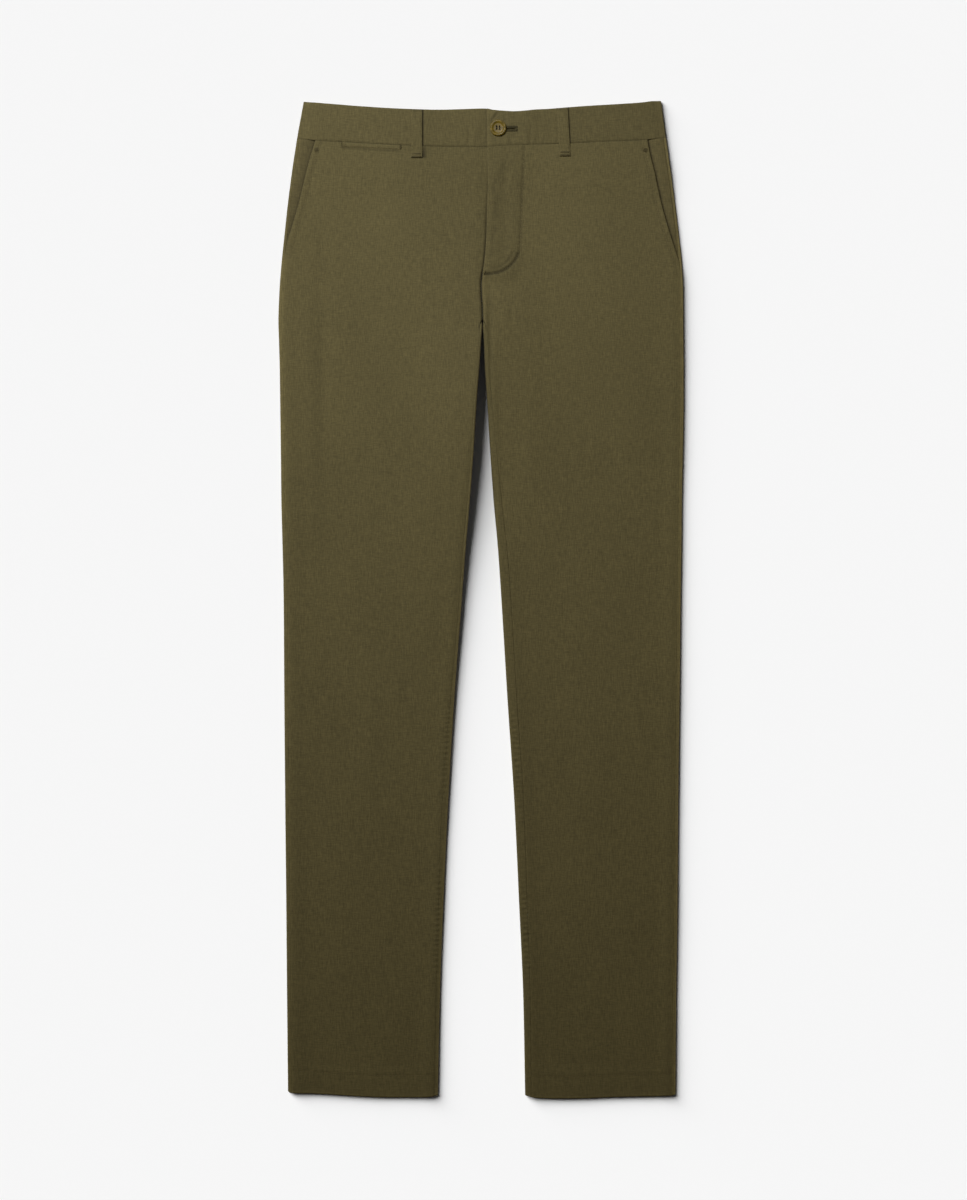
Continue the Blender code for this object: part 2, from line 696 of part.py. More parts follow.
def make_button(material):
    """A turned disc with a rim and a sunk middle, four thread holes, and its thread stem below."""
    face = BAND_LAP_TOP + GAP
    stem_low = BAND_TOP - (BAND - UNDERLAP_BAND) + GAP - face
    profile = (
        (0.0, stem_low), (STEM_RADIUS, stem_low), (STEM_RADIUS, 0.0), (6.4, 0.0), (7.8, 0.5),
        (BUTTON_RADIUS, 1.4), (BUTTON_RADIUS, 2.1), (8.0, 2.75), (7.2, BUTTON_THICK), (6.4, 2.8),
        (5.6, 2.25), (0.0, 2.15),
    )
    made = bmesh.new()
    points = [made.verts.new((r * MM, 0, z * MM)) for r, z in profile]
    edges = [made.edges.new(pair) for pair in zip(points, points[1:])]
    bmesh.ops.spin(
        made, geom=points + edges, cent=(0, 0, 0), axis=(0, 0, 1), angle=math.tau, steps=28, use_merge=True
    )
    bmesh.ops.remove_doubles(made, verts=made.verts, dist=1e-6)
    bmesh.ops.recalc_face_normals(made, faces=made.faces)
    button = new_object("waist_button", made, material, (BUTTON_X, BUTTON_DOWN, face))

    drills = bmesh.new()
    for across in (-1, 1):
        for along in (-1, 1):
            made_drill = bmesh.ops.create_cone(
                drills, cap_ends=True, segments=10, radius1=BUTTON_HOLE_RADIUS * MM,
                radius2=BUTTON_HOLE_RADIUS * MM, depth=2.0 * MM,
            )
            centre = (across * BUTTON_HOLE_PITCH * MM, along * BUTTON_HOLE_PITCH * MM, 2.2 * MM)
            bmesh.ops.translate(drills, verts=made_drill["verts"], vec=centre)
    cutter = new_object("thread_hole_drills", drills, material, (BUTTON_X, BUTTON_DOWN, face))
    cutter.hide_render = True
    cutter.display_type = "WIRE"
    holes = button.modifiers.new("thread_holes", "BOOLEAN")
    holes.operation = "DIFFERENCE"
    holes.object = cutter
    return button


def set_origin_under_middle():
    """Moves the garment so that its origin is the middle of its box, on the surface."""
    bpy.context.view_layer.update()
    corners = [
        piece.matrix_world @ vertex.co
        for piece in GARMENT.children
        if not piece.hide_render
        for vertex in piece.data.vertices
    ]
    for axis in (0, 1):
        values = [corner[axis] for corner in corners]
        GARMENT.location[axis] -= (min(values) + max(values)) / 2


for old in list(bpy.data.objects):
    bpy.data.objects.remove(old)

GARMENT = bpy.data.objects.new("chino_trousers", None)
bpy.context.collection.objects.link(GARMENT)

twill = new_material("olive_twill", (0.118, 0.098, 0.045), 0.9)
pocketing = new_material("pocket_twill", (0.105, 0.088, 0.042), 0.9)
horn = new_material("horn_button", (0.16, 0.12, 0.03), 0.35)
zip_tape = new_material("zip_tape", (0.06, 0.05, 0.03), 0.8)

make_front(RIGHT, "front_right", twill)
make_front(LEFT, "front_left", twill)
make_back(RIGHT, "back_right", twill)
make_back(LEFT, "back_left", twill)
make_waistband(RIGHT, "waistband_right", twill)
make_waistband(LEFT, "waistband_left", twill)
make_side_pocket(RIGHT, "side_pocket_right", pocketing)
make_side_pocket(LEFT, "side_pocket_left", pocketing)
make_coin_pocket_welt(twill)
for loop_row, loop_name in zip(LOOP_ROWS, ("belt_loop_front_right", "belt_loop_front_left")):
    make_front_loop(loop_row, loop_name, twill)
for loop_x, loop_name in (
    (-BACK_LOOP_U, "belt_loop_back_right"),
    (BACK_SEAM_X, "belt_loop_back_centre"),
    (BACK_LOOP_U, "belt_loop_back_left"),
):
    make_back_loop(loop_x, loop_name, twill)
make_fly_zip(zip_tape)
make_button(horn)
set_origin_under_middle()
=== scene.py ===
import math

import bmesh
import bpy
import mathutils
import numpy as np
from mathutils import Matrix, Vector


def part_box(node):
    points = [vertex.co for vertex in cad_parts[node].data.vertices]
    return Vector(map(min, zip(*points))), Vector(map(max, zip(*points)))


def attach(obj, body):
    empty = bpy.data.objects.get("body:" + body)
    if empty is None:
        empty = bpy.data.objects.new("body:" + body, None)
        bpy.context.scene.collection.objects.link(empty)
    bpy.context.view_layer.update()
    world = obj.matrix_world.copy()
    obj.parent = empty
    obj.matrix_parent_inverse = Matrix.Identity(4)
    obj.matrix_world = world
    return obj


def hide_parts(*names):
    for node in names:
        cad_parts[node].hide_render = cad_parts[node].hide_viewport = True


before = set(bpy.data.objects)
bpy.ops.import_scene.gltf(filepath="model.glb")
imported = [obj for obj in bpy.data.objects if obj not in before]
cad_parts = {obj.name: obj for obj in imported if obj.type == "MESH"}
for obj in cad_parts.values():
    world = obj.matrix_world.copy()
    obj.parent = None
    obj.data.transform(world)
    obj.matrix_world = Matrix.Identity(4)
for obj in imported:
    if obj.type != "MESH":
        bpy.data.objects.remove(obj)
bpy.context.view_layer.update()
print("frame loaded")

mm = 0.001
right, left = -1, 1  # the wearer's sides, as signs of x
rng = np.random.default_rng(7)

# Lengths below are millimetres. "down" runs from the waistband's highest corner to the hem,
# x runs across, and u is the distance from the middle line towards one leg's own side.
button = {"x": 17.4, "down": 28.2}
buttonLow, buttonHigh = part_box("waist_button")
middleX = (buttonLow.x + buttonHigh.x) / 2 / mm - button["x"]
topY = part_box("waistband_left")[1].y / mm


def ease(value, start, end):
    t = np.clip((value - start) / (end - start), 0, 1)
    return t * t * (3 - 2 * t)


def mix(a, b, share):
    return a + (b - a) * share


def bell(distance, width):
    return np.exp(-((distance / width) ** 2))


def window(value, start, full, fading, end):
    # rises from start to full and falls from fading to end
    return ease(value, start, full) * (1 - ease(value, fading, end))


def curve(places, values):
    # a smooth curve through the values, which never swings past them
    places, values = np.array(places, float), np.array(values, float)
    chords = np.diff(values) / np.diff(places)
    before, after = chords[:-1], chords[1:]
    total = np.where(before * after > 0, before + after, np.inf)
    slopes = np.concatenate([chords[:1], 2 * before * after / total, chords[-1:]])

    def at(place):
        place = np.asarray(place, float)
        i = np.clip(np.searchsorted(places, place) - 1, 0, len(places) - 2)
        span = places[i + 1] - places[i]
        t = np.clip((place - places[i]) / span, 0, 1)
        start, end = slopes[i] * span, slopes[i + 1] * span
        across = values[i] * (1 + 2 * t) * (1 - t) ** 2 + values[i + 1] * t * t * (3 - 2 * t)
        return across + start * t * (1 - t) ** 2 + end * t * t * (t - 1)

    return at


# Outlines, each leg on its own side.
legDowns = [0, 42, 105, 140, 168, 200, 232, 252, 283, 314, 367, 420, 472, 525, 630, 735, 840, 945, 1045]
legShape = {
    right: {
        "outer": [
            187, 194.5, 203.5, 207.3, 210.2, 212.6, 213.7, 213.1, 212.3, 211.9, 211.2, 210.6, 209.3, 208.2,
            207.5, 206.6, 205.5, 204.6, 203.6
        ],
        "inner": [-0.85] * 7 + [0.3, 2.4, 4.9, 8.3, 12.3, 16.8, 20.8, 28.7, 35.0, 40.0, 43.9, 46.0],
        "outseam": [2.7] * 5 + [3.2, 3.6] + [4] * 12,
        "inseam": [2.7] * 13 + [2.8, 4.2, 6.2, 5.2, 4, 4],
        "lift": [0, 0, 0, 1, 3, 5.5, 8.2, 10.5, 12, 13, 12.4, 9.4, 6.0, 3.4, 1.2, 0.4, 0, 0, 0],
    },
    left: {
        "outer": [
            188.6, 194.2, 202.9, 207.2, 210.2, 211.8, 212.0, 212.2, 212.4, 212.4, 211.6, 210.6, 210.1, 209.3,
            208.2, 206.8, 206.0, 204.6, 203.8
        ],
        "inner": [1.15] * 7 + [2.2, 3.5, 5.6, 8.8, 12.5, 17.2, 20.8, 27.2, 34.2, 39.2, 43.8, 45.7],
        "outseam": [2.7] * 5 + [3.2, 3.6] + [3.8] * 12,
        "inseam": [2.7] * 7 + [3, 3.8, 5, 7, 8.5, 9.6, 10, 10, 9.8, 8.6, 7.4, 6.4],
        "lift": [0, 0, 0, 1, 3, 5.5, 8, 8.2, 7.4, 6.6, 5.5, 4.5, 3.5, 2.5, 1.2, 0.4, 0, 0, 0],
    },
}
leg = {
    side: {name: curve(legDowns, values) for name, values in shape.items()}
    for side, shape in legShape.items()
}
topEdge = curve(
    [-187, -149, -123, -98, -73, -46, -20, 4, 12, 22, 34, 46, 56, 72, 95, 120, 146, 170, 179, 189],
    [0.9, 4.2, 6.2, 7.8, 8.9, 9.6, 9, 8.3, 9.9, 10.8, 11.4, 10.7, 9.5, 8.6, 6.7, 5, 3.5, 1.7, 0.4, 0],
)
waistSeam = curve(
    [-194, -172, -149, -110, -77, -20, 5, 19, 61, 82, 130, 171, 194],
    [39.0, 41.8, 43.0, 45.2, 46.8, 48.2, 48.4, 47.4, 45.8, 45.0, 42.9, 41.0, 38.5],
)
hemLine = curve(
    [-204, -200.5, -178, -128, -102, -69, -52, -45, 45, 55, 80, 105, 131, 200.5, 206],
    [
        1040.4, 1042.8, 1043.4, 1046.2, 1047.3, 1047.3, 1046.6, 1044.6, 1045, 1047.6, 1048.6, 1048.4,
        1047.3, 1045.3, 1042.2
    ],
)
slant = {
    right: curve([40, 56, 79, 98, 116, 133, 145, 170], [174, 179, 185.2, 189.7, 194.6, 199.6, 203.3, 208.3]),
    left: curve([40, 52, 77, 90, 112, 132, 161, 178], [174, 176.1, 182.2, 184.9, 190, 195.6, 205, 211.2]),
}
slantEnd = {right: 158, left: 166}
flyEdge = curve(
    [40, 84, 108, 146, 168, 181, 194, 206, 217, 229], [5.8, 6.6, 5.7, 4.6, 2.8, 0.9, -0.5, -0.2, 0.8, 1]
)

panel = {
    "cloth": 1.2, "hemCloth": 1.8, "seamDown": 42, "crotchDown": 229, "legsDown": 237, "hemDown": 1045,
    "hemFold": 23, "pocketDown": 330, "backSeamX": 1.0, "seamGap": 0.06,
}
height = {
    "body": 4.2, "leg": 3.2, "hem": 3.6, "edgeWaist": 4.6, "edgeBody": 5.2, "edgeLeg": 5.0,
    "roll": 2.4, "swell": 24, "lift": 55, "topLift": 85, "waistRise": 1.5,
}
fly = {
    "width": 38, "curveDown": 146, "endDown": 180, "fade": 14, "dip": 1.0, "rise": 1.6,
    "ridge": 0.7, "ridgeAt": 8, "trough": 0.75, "troughAt": 20, "zipEnd": 165, "groove": 2.0,
}

# Belt loops, folded double and tacked down at the lower end.
beltLoop = {
    "width": 11.8, "cloth": 1.0, "stand": 1.1, "block": 5.5, "folded": 0.35, "backU": 112, "stitchX": 3.9,
}
# dark sets the painted shadow beside each front loop
frontLoops = {
    "loopFrontRight": {"side": right, "topX": -68.4, "endX": -68.2, "endDown": 60.4, "dark": 0.8},
    "loopFrontLeft": {"side": left, "topX": 84.6, "endX": 87.4, "endDown": 58.8, "dark": 0.62},
}
# The coin pocket's welt, a folded strip under the waist seam.
welt = {"x0": -148, "x1": -84, "from": 0.6, "depth": 5.2, "gap": 0.1, "cloth": 0.6}


def flyU(side, down):
    return side * flyEdge(down) + panel["seamGap"]


def flyShown(down):
    return 1 - ease(down, fly["endDown"], fly["endDown"] + fly["fade"])


def underlap(down):
    t = (down - fly["curveDown"]) / (fly["endDown"] - fly["curveDown"])
    return fly["width"] * np.sqrt(np.maximum(0, 1 - np.maximum(0, t) ** 2))


def curvedDown(x, level):
    # the first rows follow the waist seam and the last ones the hem
    seam = waistSeam(x) + panel["seamGap"] - panel["seamDown"]
    hem = hemLine(x) - panel["hemDown"]
    return level + seam * (1 - ease(level, panel["seamDown"], 85)) + hem * ease(level, 985, 1045)


def frontInner(side, down):
    inseam = leg[side]["inner"](down) + leg[side]["inseam"](down) + panel["seamGap"]
    return mix(flyU(side, down), inseam, ease(down, panel["crotchDown"], panel["legsDown"]))


def frontOuter(side, down):
    outseam = leg[side]["outer"](down) - leg[side]["outseam"](down) - panel["seamGap"]
    return np.where(down < slantEnd[side] + 8, np.minimum(slant[side](down), outseam), outseam)


def underside(side, u, down):
    lift = leg[side]["lift"](down) * (1 - ease(np.abs(u - leg[side]["inner"](down)), 0, height["lift"]))
    return lift + height["waistRise"] * (1 - ease(down, 64, 112))


def topLift(side, u, down):
    # the upper cloth falls away from the lifted crotch more gently than the lower
    fromInner = np.abs(u - leg[side]["inner"](down))
    wide, close = (1 - ease(fromInner, 0, reach) for reach in (height["topLift"], height["lift"]))
    return leg[side]["lift"](down) * (wide - close)


def stack(down):
    toLeg = ease(down, panel["pocketDown"], panel["pocketDown"] + 80)
    toHem = ease(down, panel["hemDown"] - 34, panel["hemDown"] - panel["hemFold"])
    return mix(mix(height["body"], height["leg"], toLeg), height["hem"], toHem)


def edgeHeight(down):
    toLeg = ease(down, panel["pocketDown"], panel["pocketDown"] + 80)
    return mix(mix(height["edgeWaist"], height["edgeBody"], ease(down, 45, 95)), height["edgeLeg"], toLeg)


# Soft ridges and troughs of the fronts, each along a line from (u, down) to (u, down).
def creaseList(*rows):
    columns = ("side", "u0", "down0", "u1", "down1", "width", "height")
    return [dict(zip(columns, row)) for row in rows]


creases = creaseList(
    (right, 186, 150, 176, 400, 12, 0.8),
    (right, 148, 160, 150, 390, 16, 0.7),
    (right, 26, 262, 30, 430, 13, 1.1),
    (left, 44, 232, 58, 470, 14, 0.9),
    (left, 10, 246, 20, 520, 4.5, 1.0),
    (right, 120, 560, 128, 830, 16, 0.7),
    (left, 118, 600, 112, 860, 17, 0.7),
)
fineCreases = creaseList(
    (right, 171, 118, 168, 440, 7, -1.6),
    (right, 161, 240, 158, 330, 4, 0.2),
    (right, 95, 120, 60, 215, 11, 0.28),
    (right, 60, 190, 26, 300, 9, -0.3),
    (right, 18, 130, 10, 215, 5, -0.25),
    (right, 70, 620, 82, 780, 12, -0.22),
    (right, 150, 700, 146, 920, 11, 0.2),
    (right, 96, 880, 104, 1010, 12, 0.2),
    (left, 28.7, 66, 18.5, 104, 2.2, -0.45),
    (left, 34, 70, 24, 108, 2.6, 0.5),
    (left, 8.8, 188, 9.8, 340, 2.2, -1.4),
    (left, 4.4, 188, 5.0, 340, 1.8, 0.8),
    (left, 28, 205, 37, 268, 2.6, -0.55),
    (left, 17, 256, 27, 560, 5, -0.8),
    (left, 36, 330, 41, 440, 7, -0.3),
    (left, 66, 70, 92, 150, 10, 0.25),
    (left, 150, 100, 128, 190, 12, -0.22),
    (left, 176, 190, 183, 340, 7, -0.3),
    (left, 92, 640, 78, 850, 11, -0.22),
    (left, 162, 560, 156, 760, 10, 0.22),
    (left, 112, 870, 120, 1015, 13, 0.2),
)


def alongCreases(rows, side, u, down):
    total = np.zeros(np.broadcast(u, down).shape)
    for row in rows:
        if row["side"] != side:
            continue
        t = (down - row["down0"]) / (row["down1"] - row["down0"])
        across = u - mix(row["u0"], row["u1"], t)
        fade = np.sin(math.pi * np.clip(t, 0, 1))
        total += row["height"] * fade * bell(across, row["width"])
    return total


def frontHeight(side, u, down):
    flat = stack(down) + topLift(side, u, down)
    atOuter = 1 - ease(leg[side]["outer"](down) - u, height["roll"], height["swell"])
    atInner = 1 - ease(u - leg[side]["inner"](down), height["roll"], height["swell"])
    atInner = atInner * ease(down, panel["crotchDown"] - 6, panel["crotchDown"] + 30)
    swell = (edgeHeight(down) - flat) * np.maximum(atOuter, atInner)
    return underside(side, u, down) + flat + swell + alongCreases(creases, side, u, down)


def flyRise(fromEdge, down):
    spread = mix(38, 22, ease(down, 48, 95))
    rise = fly["rise"] * (1 - ease(fromEdge, spread, spread + 24))
    ridge = fly["ridge"] * bell(fromEdge - fly["ridgeAt"], 6)
    trough = fly["trough"] * bell(fromEdge - fly["troughAt"], 5)
    overZip = window(down, 58, 88, fly["zipEnd"], fly["endDown"])
    return (rise + (ridge - trough) * overZip) * flyShown(down)


def flyDip(fromEdge, down):
    # the right front slopes down to the lapped edge, and more so lower down
    groove = fly["groove"] * ease(down, 50, 130) * bell(fromEdge - 0.6, 1.7)
    return (fly["dip"] * ease(fromEdge, -12, -1) + groove) * flyShown(down)


def crotchGroove(side, fromSeam, down):
    # below the fly both fronts roll down into their seam
    start, end = fly["endDown"] - 4, panel["legsDown"]
    share = window(down, start, start + 10, end, end + 8)
    if side == right:
        return share * 2.6 * bell(fromSeam, 1.5)
    roll, swell = 0.3 * bell(fromSeam - 3.2, 1.7), 0.5 * bell(fromSeam - 7.5, 2.2)
    return share * (2.4 * bell(fromSeam, 0.9) - roll + swell)


def pocketDrop(side, down):
    return 1.5 * (1 - ease(down, slantEnd[side], slantEnd[side] + 20))


# Sewn lines on the fronts, each a path of (x, down) points.
def evenly(path, step):
    path = np.array(path, float)
    lengths = np.concatenate([[0], np.cumsum(np.hypot(*np.diff(path, axis=0).T))])
    at = np.linspace(0, lengths[-1], max(2, round(lengths[-1] / step) + 1))
    return np.stack([np.interp(at, lengths, path[:, 0]), np.interp(at, lengths, path[:, 1])], 1)


def slantLine(side, inset):
    downs = np.linspace(44, slantEnd[side] + 6, 60)
    us = slant[side](downs) - inset
    return [(side * u, d) for u, d in zip(us, downs) if u < frontOuter(side, d) - 1.5]


flyStitch = {"top": (44.5, 49), "corner": (40.5, 150), "turn": (34, 32.4), "end": (3.2, 182.7)}


def flyCurve():
    # straight beside the zip, then a quarter round to the middle line
    (topX, topDown), (x, down), (across, deep) = flyStitch["top"], flyStitch["corner"], flyStitch["turn"]
    straight = [(mix(topX, x, t), mix(topDown, down, t)) for t in np.linspace(0, 1, 30)]
    angles = np.linspace(0, math.pi / 2, 30)[1:]
    turned = [(x - across * (1 - math.cos(a)), down + deep * math.sin(a)) for a in angles]
    return straight + turned + [flyStitch["end"]]


def hemStitch(side):
    nearHem = panel["hemDown"] - 25
    us = np.linspace(frontInner(side, nearHem), frontOuter(side, nearHem), 60)
    return [(side * u, hemLine(side * u) - panel["hemFold"]) for u in us]


flyTurn = [(x, d) for x, d in flyCurve() if d > 160]  # the stitch pulls deepest round the turn
flyCrease = [
    (25, 66), (20, 76), (14, 88), (13.2, 94), (16.5, 104), (15.5, 112), (13, 124), (13.6, 136), (12, 150),
    (10.3, 163),
]
flyWrinkle = [(15, 176.4), (19, 174.9), (25, 170.9), (30.5, 165), (34, 158.5)]
# the seed varies the puckers from line to line; dark is the painted shade along each line's groove
sewnColumns = ("side", "path", "groove", "pucker", "dark", "wide", "seed")
sewnRows = {
    "slantRight": (right, slantLine(right, 6.2), 0.28, 0.12, 0.12, 1, 10),
    "slantLeft": (left, slantLine(left, 5.8), 0.28, 0.12, 0.12, 1, 9),
    "fly": (left, flyCurve(), 0.9, 0.26, 0.26, 1, 3),
    "flyCrease": (left, flyCrease, 0.45, 0, 0.12, 2.2, 9),
    "flyTurn": (left, flyTurn, 1.3, 0.12, 0.36, 1, 7),
    "flyWrinkle": (left, flyWrinkle, 0.9, 0.1, 0.22, 1, 10),
    "hemRight": (right, hemStitch(right), 0.3, 0.12, 0.04, 1, 8),
    "hemLeft": (left, hemStitch(left), 0.3, 0.12, 0.04, 1, 7),
}
sewnLines = {name: dict(zip(sewnColumns, row)) for name, row in sewnRows.items()}
for line in sewnLines.values():
    line["path"] = evenly(line["path"], 1.0)


def nearPath(path, x, down, reach):
    # distance to the path and place along it, infinite past the reach
    low, high = path.min(0) - reach, path.max(0) + reach
    near = (x > low[0]) & (x < high[0]) & (down > low[1]) & (down < high[1])
    distance, along = np.full(x.shape, np.inf), np.zeros(x.shape)
    points = np.stack([x[near], down[near]], 1)
    for start in range(0, len(points), 4000):
        some = points[start : start + 4000]
        gaps = np.hypot(some[:, None, 0] - path[None, :, 0], some[:, None, 1] - path[None, :, 1])
        points[start : start + 4000, 0] = gaps.min(1)
        points[start : start + 4000, 1] = gaps.argmin(1)
    distance[near], along[near] = points[:, 0], points[:, 1]
    return distance, along


def puckers(along, pitch, seed):
    # uneven little waves across a sewn line
    phase = along * math.tau / pitch + 1.4 * np.sin(along / 17 + seed) + 0.8 * np.sin(along / 7.3 + 2 * seed)
    return np.sin(phase) * (0.6 + 0.4 * np.sin(along / 29 + 3 * seed))


def softWaves(x, down):
    # the faint unevenness of cloth that was smoothed by hand
    slow = np.sin(x / 19 + 1.7 * np.sin(down / 83)) * np.sin(down / 61 + 1.1)
    quick = np.sin(x / 9.5 + down / 47 + 2.1) * np.sin(down / 33 + x / 51)
    return 0.13 * slow + 0.07 * quick


def legPuckers(side, u, down):
    # the inseam draws the cloth up in close little waves
    fromEdge = u - leg[side]["inner"](down)
    return window(down, 480, 640, 960, 1020) * bell(fromEdge - 5, 4.0) * puckers(down, 5.6, side)


# How far the edges round down, and how wide a strip of them does.
edgeRound = {
    "outer": 1.5, "outerWide": {right: 8.5, left: 7}, "inner": {right: 1.6, left: 0.9}, "innerWide": 7,
}


def edgeFall(side, u, down):
    # the outer edges round down softly, and the inner ones below the crotch
    outer = bell(leg[side]["outer"](down) - u, edgeRound["outerWide"][side])
    inner = bell(u - leg[side]["inner"](down), edgeRound["innerWide"]) * ease(down, 300, 400)
    return edgeRound["outer"] * outer + edgeRound["inner"][side] * inner


def waistGroove(x):
    # the waist seam lies shallower at the sides
    return mix(0.5, 0.1, ease(np.abs(x), 168, 180))


# How high the sewing pulls the cloth up, or how deep it draws it in.
pulled = {
    "inseam": 0.5, "outseam": 0.06, "inseamGroove": 0.08, "outseamGroove": 0.04, "waist": 0.14,
    "hem": 0.10, "slant": 0.25, "reach": 8, "pitch": 5.5,
}


def frontSurface(side, u, down):
    x, fromFly = side * u, u - flyU(side, down)
    fromInner, fromOuter = u - frontInner(side, down), frontOuter(side, down) - u
    z = frontHeight(side, u, down) + (flyRise(fromFly, down) if side == left else -flyDip(-fromFly, down))
    z = z - crotchGroove(side, np.abs(fromFly), down)
    z = z + alongCreases(fineCreases, side, u, down) + softWaves(x, down)
    onLeg = ease(down, panel["legsDown"], panel["legsDown"] + 60)
    z = z + pulled["inseam"] * legPuckers(side, u, down)
    z = z + pulled["outseam"] * onLeg * bell(fromOuter - 1.5, 3.0) * puckers(down, 5.1, side + 5)
    z = z - pulled["inseamGroove"] * onLeg * bell(fromInner, 0.7)
    z = z - pulled["outseamGroove"] * onLeg * bell(fromOuter, 0.7) - edgeFall(side, u, down)
    for line in sewnLines.values():
        if line["side"] == side:
            distance, along = nearPath(line["path"], x, down, pulled["reach"])
            waves = puckers(along, pulled["pitch"], line["seed"])
            z = z - line["groove"] * bell(distance, 1.1 * line["wide"])
            z = z + line["pucker"] * bell(distance - 2.0, 2.6) * waves
    toSeam = down - waistSeam(x)
    z = z - waistGroove(x) * bell(toSeam, 1.1) + pulled["waist"] * bell(toSeam - 3.5, 3) * puckers(x, 7, 3)
    hemStrip = window(down, 1024, 1030, 1038, 1044)
    slantStrip = (1 - ease(down, slantEnd[side] - 10, slantEnd[side])) * bell(fromOuter - 2.6, 2.4)
    return z + pulled["hem"] * hemStrip * puckers(x, 9, side + 2) + pulled["slant"] * slantStrip


def turnedEdge(distance):
    # how far a folded cloth edge rounds down
    return 0.5 * (1 - np.clip(distance / 0.9, 0, 1)) ** 2


def newObject(name, data):
    thing = bpy.data.objects.new(name, data)
    bpy.context.collection.objects.link(thing)
    return thing


# Meshes from grids of points.
def gridMesh(name, x, down, z, keep=None, groups=None, shade=None):
    rows, columns = x.shape
    points = np.stack([(middleX + x) * mm, (topY - down) * mm, z * mm], -1).reshape(-1, 3)
    index = np.arange(rows * columns).reshape(rows, columns)
    quads = np.stack([index[:-1, :-1], index[1:, :-1], index[1:, 1:], index[:-1, 1:]], -1)
    quads = quads.reshape(-1, 4) if keep is None else quads[keep]
    used, renumbered = np.unique(quads, return_inverse=True)
    quads, points = renumbered.reshape(-1, 4), points[used]
    mesh = bpy.data.meshes.new(name)
    mesh.from_pydata(points.tolist(), [], quads.tolist())
    mesh.update()
    # paintedLightAndShade holds painted light and shade: a factor on the cloth's colour, above one for
    # painted highlights and below one for painted shade and shadow
    values = np.ones(rows * columns) if shade is None else shade.reshape(-1)
    paintedLightAndShade = mesh.attributes.new("paintedLightAndShade", "FLOAT", "POINT")
    paintedLightAndShade.data.foreach_set("value", values[used].astype(np.float32))
    mesh.shade_smooth()
    piece = newObject(name, mesh)
    if groups is not None:
        group = piece.vertex_groups.new(name="thick")
        weights = groups.reshape(-1)[used]
        for value in np.unique(weights):
            group.add(np.flatnonzero(weights == value).tolist(), float(value), "REPLACE")
    return piece


def facingUp(piece):
    mesh = piece.data
    normals = np.zeros(len(mesh.polygons) * 3)
    mesh.polygons.foreach_get("normal", normals)
    if np.median(normals[2::3]) < 0:
        mesh.flip_normals()
    return piece


def thicken(piece, thickness, byGroup=False):
    solid = piece.modifiers.new("cloth", "SOLIDIFY")
    solid.thickness = thickness * mm
    solid.offset = -1
    solid.use_even_offset = False
    if byGroup:
        solid.vertex_group = "thick"
    return piece


# Painted light and shade on the panels, as shares of the cloth's colour: paler places are painted highlights
# on edges, seams and the hem, darker ones painted shade in seams, creases and troughs and painted shadow
# beside the slants, the welt and the loops; the middle values lighten one front and darken the other near the
# middle line.
# Edges and seams change from their first value to their second one down the leg.
panelLook = {
    right: {
        "edge": (0.3, 0.14), "rim": 0, "middle": -0.05, "seamDark": (0.5, 0.8), "seamWide": (1.5, 0.9),
        "seamFrom": 160, "trough": (0.055, 170.5, 7), "troughReach": (105, 160, 390, 520),
        "slantTurn": 0.6, "backInner": 0.35, "backOuter": 0,
    },
    left: {
        "edge": (0.26, 0.24), "rim": 0.3, "middle": 0.04, "seamDark": (0.1, 0.6), "seamWide": (0.7, 0.7),
        "seamFrom": 165, "trough": (0.09, 9.6, 1.8), "troughReach": (188, 215, 300, 345),
        "slantTurn": 1, "backInner": 0, "backOuter": 0.45,
    },
    "seamPale": 0.035, "waistDark": 0.08, "overFly": 0.1, "slantDark": 0.1, "underWelt": 0.35,
    "loopDark": 0.9, "outseamPale": 0.1, "backOutseam": 0.22, "puckers": 0.07, "hemPale": 0.16,
}


def edgePaintedLight(side, u, down):
    # painted light: the cloth is made a little paler round its outer edges
    look, fromOuter = panelLook[side], leg[side]["outer"](down) - u
    amount = mix(*look["edge"], ease(down, 380, 520))
    return amount * bell(fromOuter, 4.5) * ease(down, 150, 190) + look["rim"] * bell(fromOuter, 1.8)


# painted highlight along the folded hem edge
def hemPaintedLight(x, down):
    return panelLook["hemPale"] * bell(hemLine(x) - down, 2.6)


def besideLoops(x, down):
    # painted shadow: the deep line along each front loop's outer side, where it stands off the cloth
    total = np.zeros(np.broadcast(x, down).shape)
    for loop in frontLoops.values():
        share = np.clip((down - 9) / (loop["endDown"] - 9), 0, 1)
        edge = mix(loop["topX"], loop["endX"], share) + beltLoop["width"] / 2
        above = 1 - ease(down, loop["endDown"] - 1, loop["endDown"] + 1)
        total += loop["dark"] * bell(x - edge - 0.5, 1.0) * above
    return total


edgeSteps = np.array([0, 0.3, 0.7, 1.2, 1.9, 2.8, 3.9, 5.2, 6.8, 8.6, 10.8, 13.4])
flySteps = np.concatenate([edgeSteps, np.arange(14.8, 46, 1.4)])


def panelRows():
    # close rows at the waist seam, on the fly and at the hem, wider ones down the legs
    top, hem = panel["seamDown"], panel["hemDown"]
    return np.concatenate([
        [top, top + 0.4, top + 0.9], np.arange(top + 1.6, 214, 1.45), np.arange(215, hem - 28, 1.65),
        np.linspace(hem - 27, hem, 21),
    ])


def acrossColumns(inner, outer, middle, steps):
    # columns close together near both edges
    shares = np.linspace(0, 1, middle + 2)[1:-1]
    between = mix(inner + steps[-1], outer - edgeSteps[-1], shares[:, None])
    parts = [inner + steps[:, None], between, outer - edgeSteps[::-1, None]]
    return np.concatenate([np.broadcast_to(part, (len(part), len(inner))) for part in parts]).T


def hemWeights(down):
    toHem = ease(down, panel["hemDown"] - 28, panel["hemDown"] - panel["hemFold"])
    return np.round(mix(panel["cloth"] / panel["hemCloth"], 1, toHem), 2)


def underlapColumns(levels):
    # the right front goes on under the left one
    shares = np.linspace(1, 0, 12)[:-1]
    edge = frontInner(right, levels) - underlap(levels) * shares
    down = curvedDown(right * edge, levels)
    return frontInner(right, down) - underlap(down) * shares, down
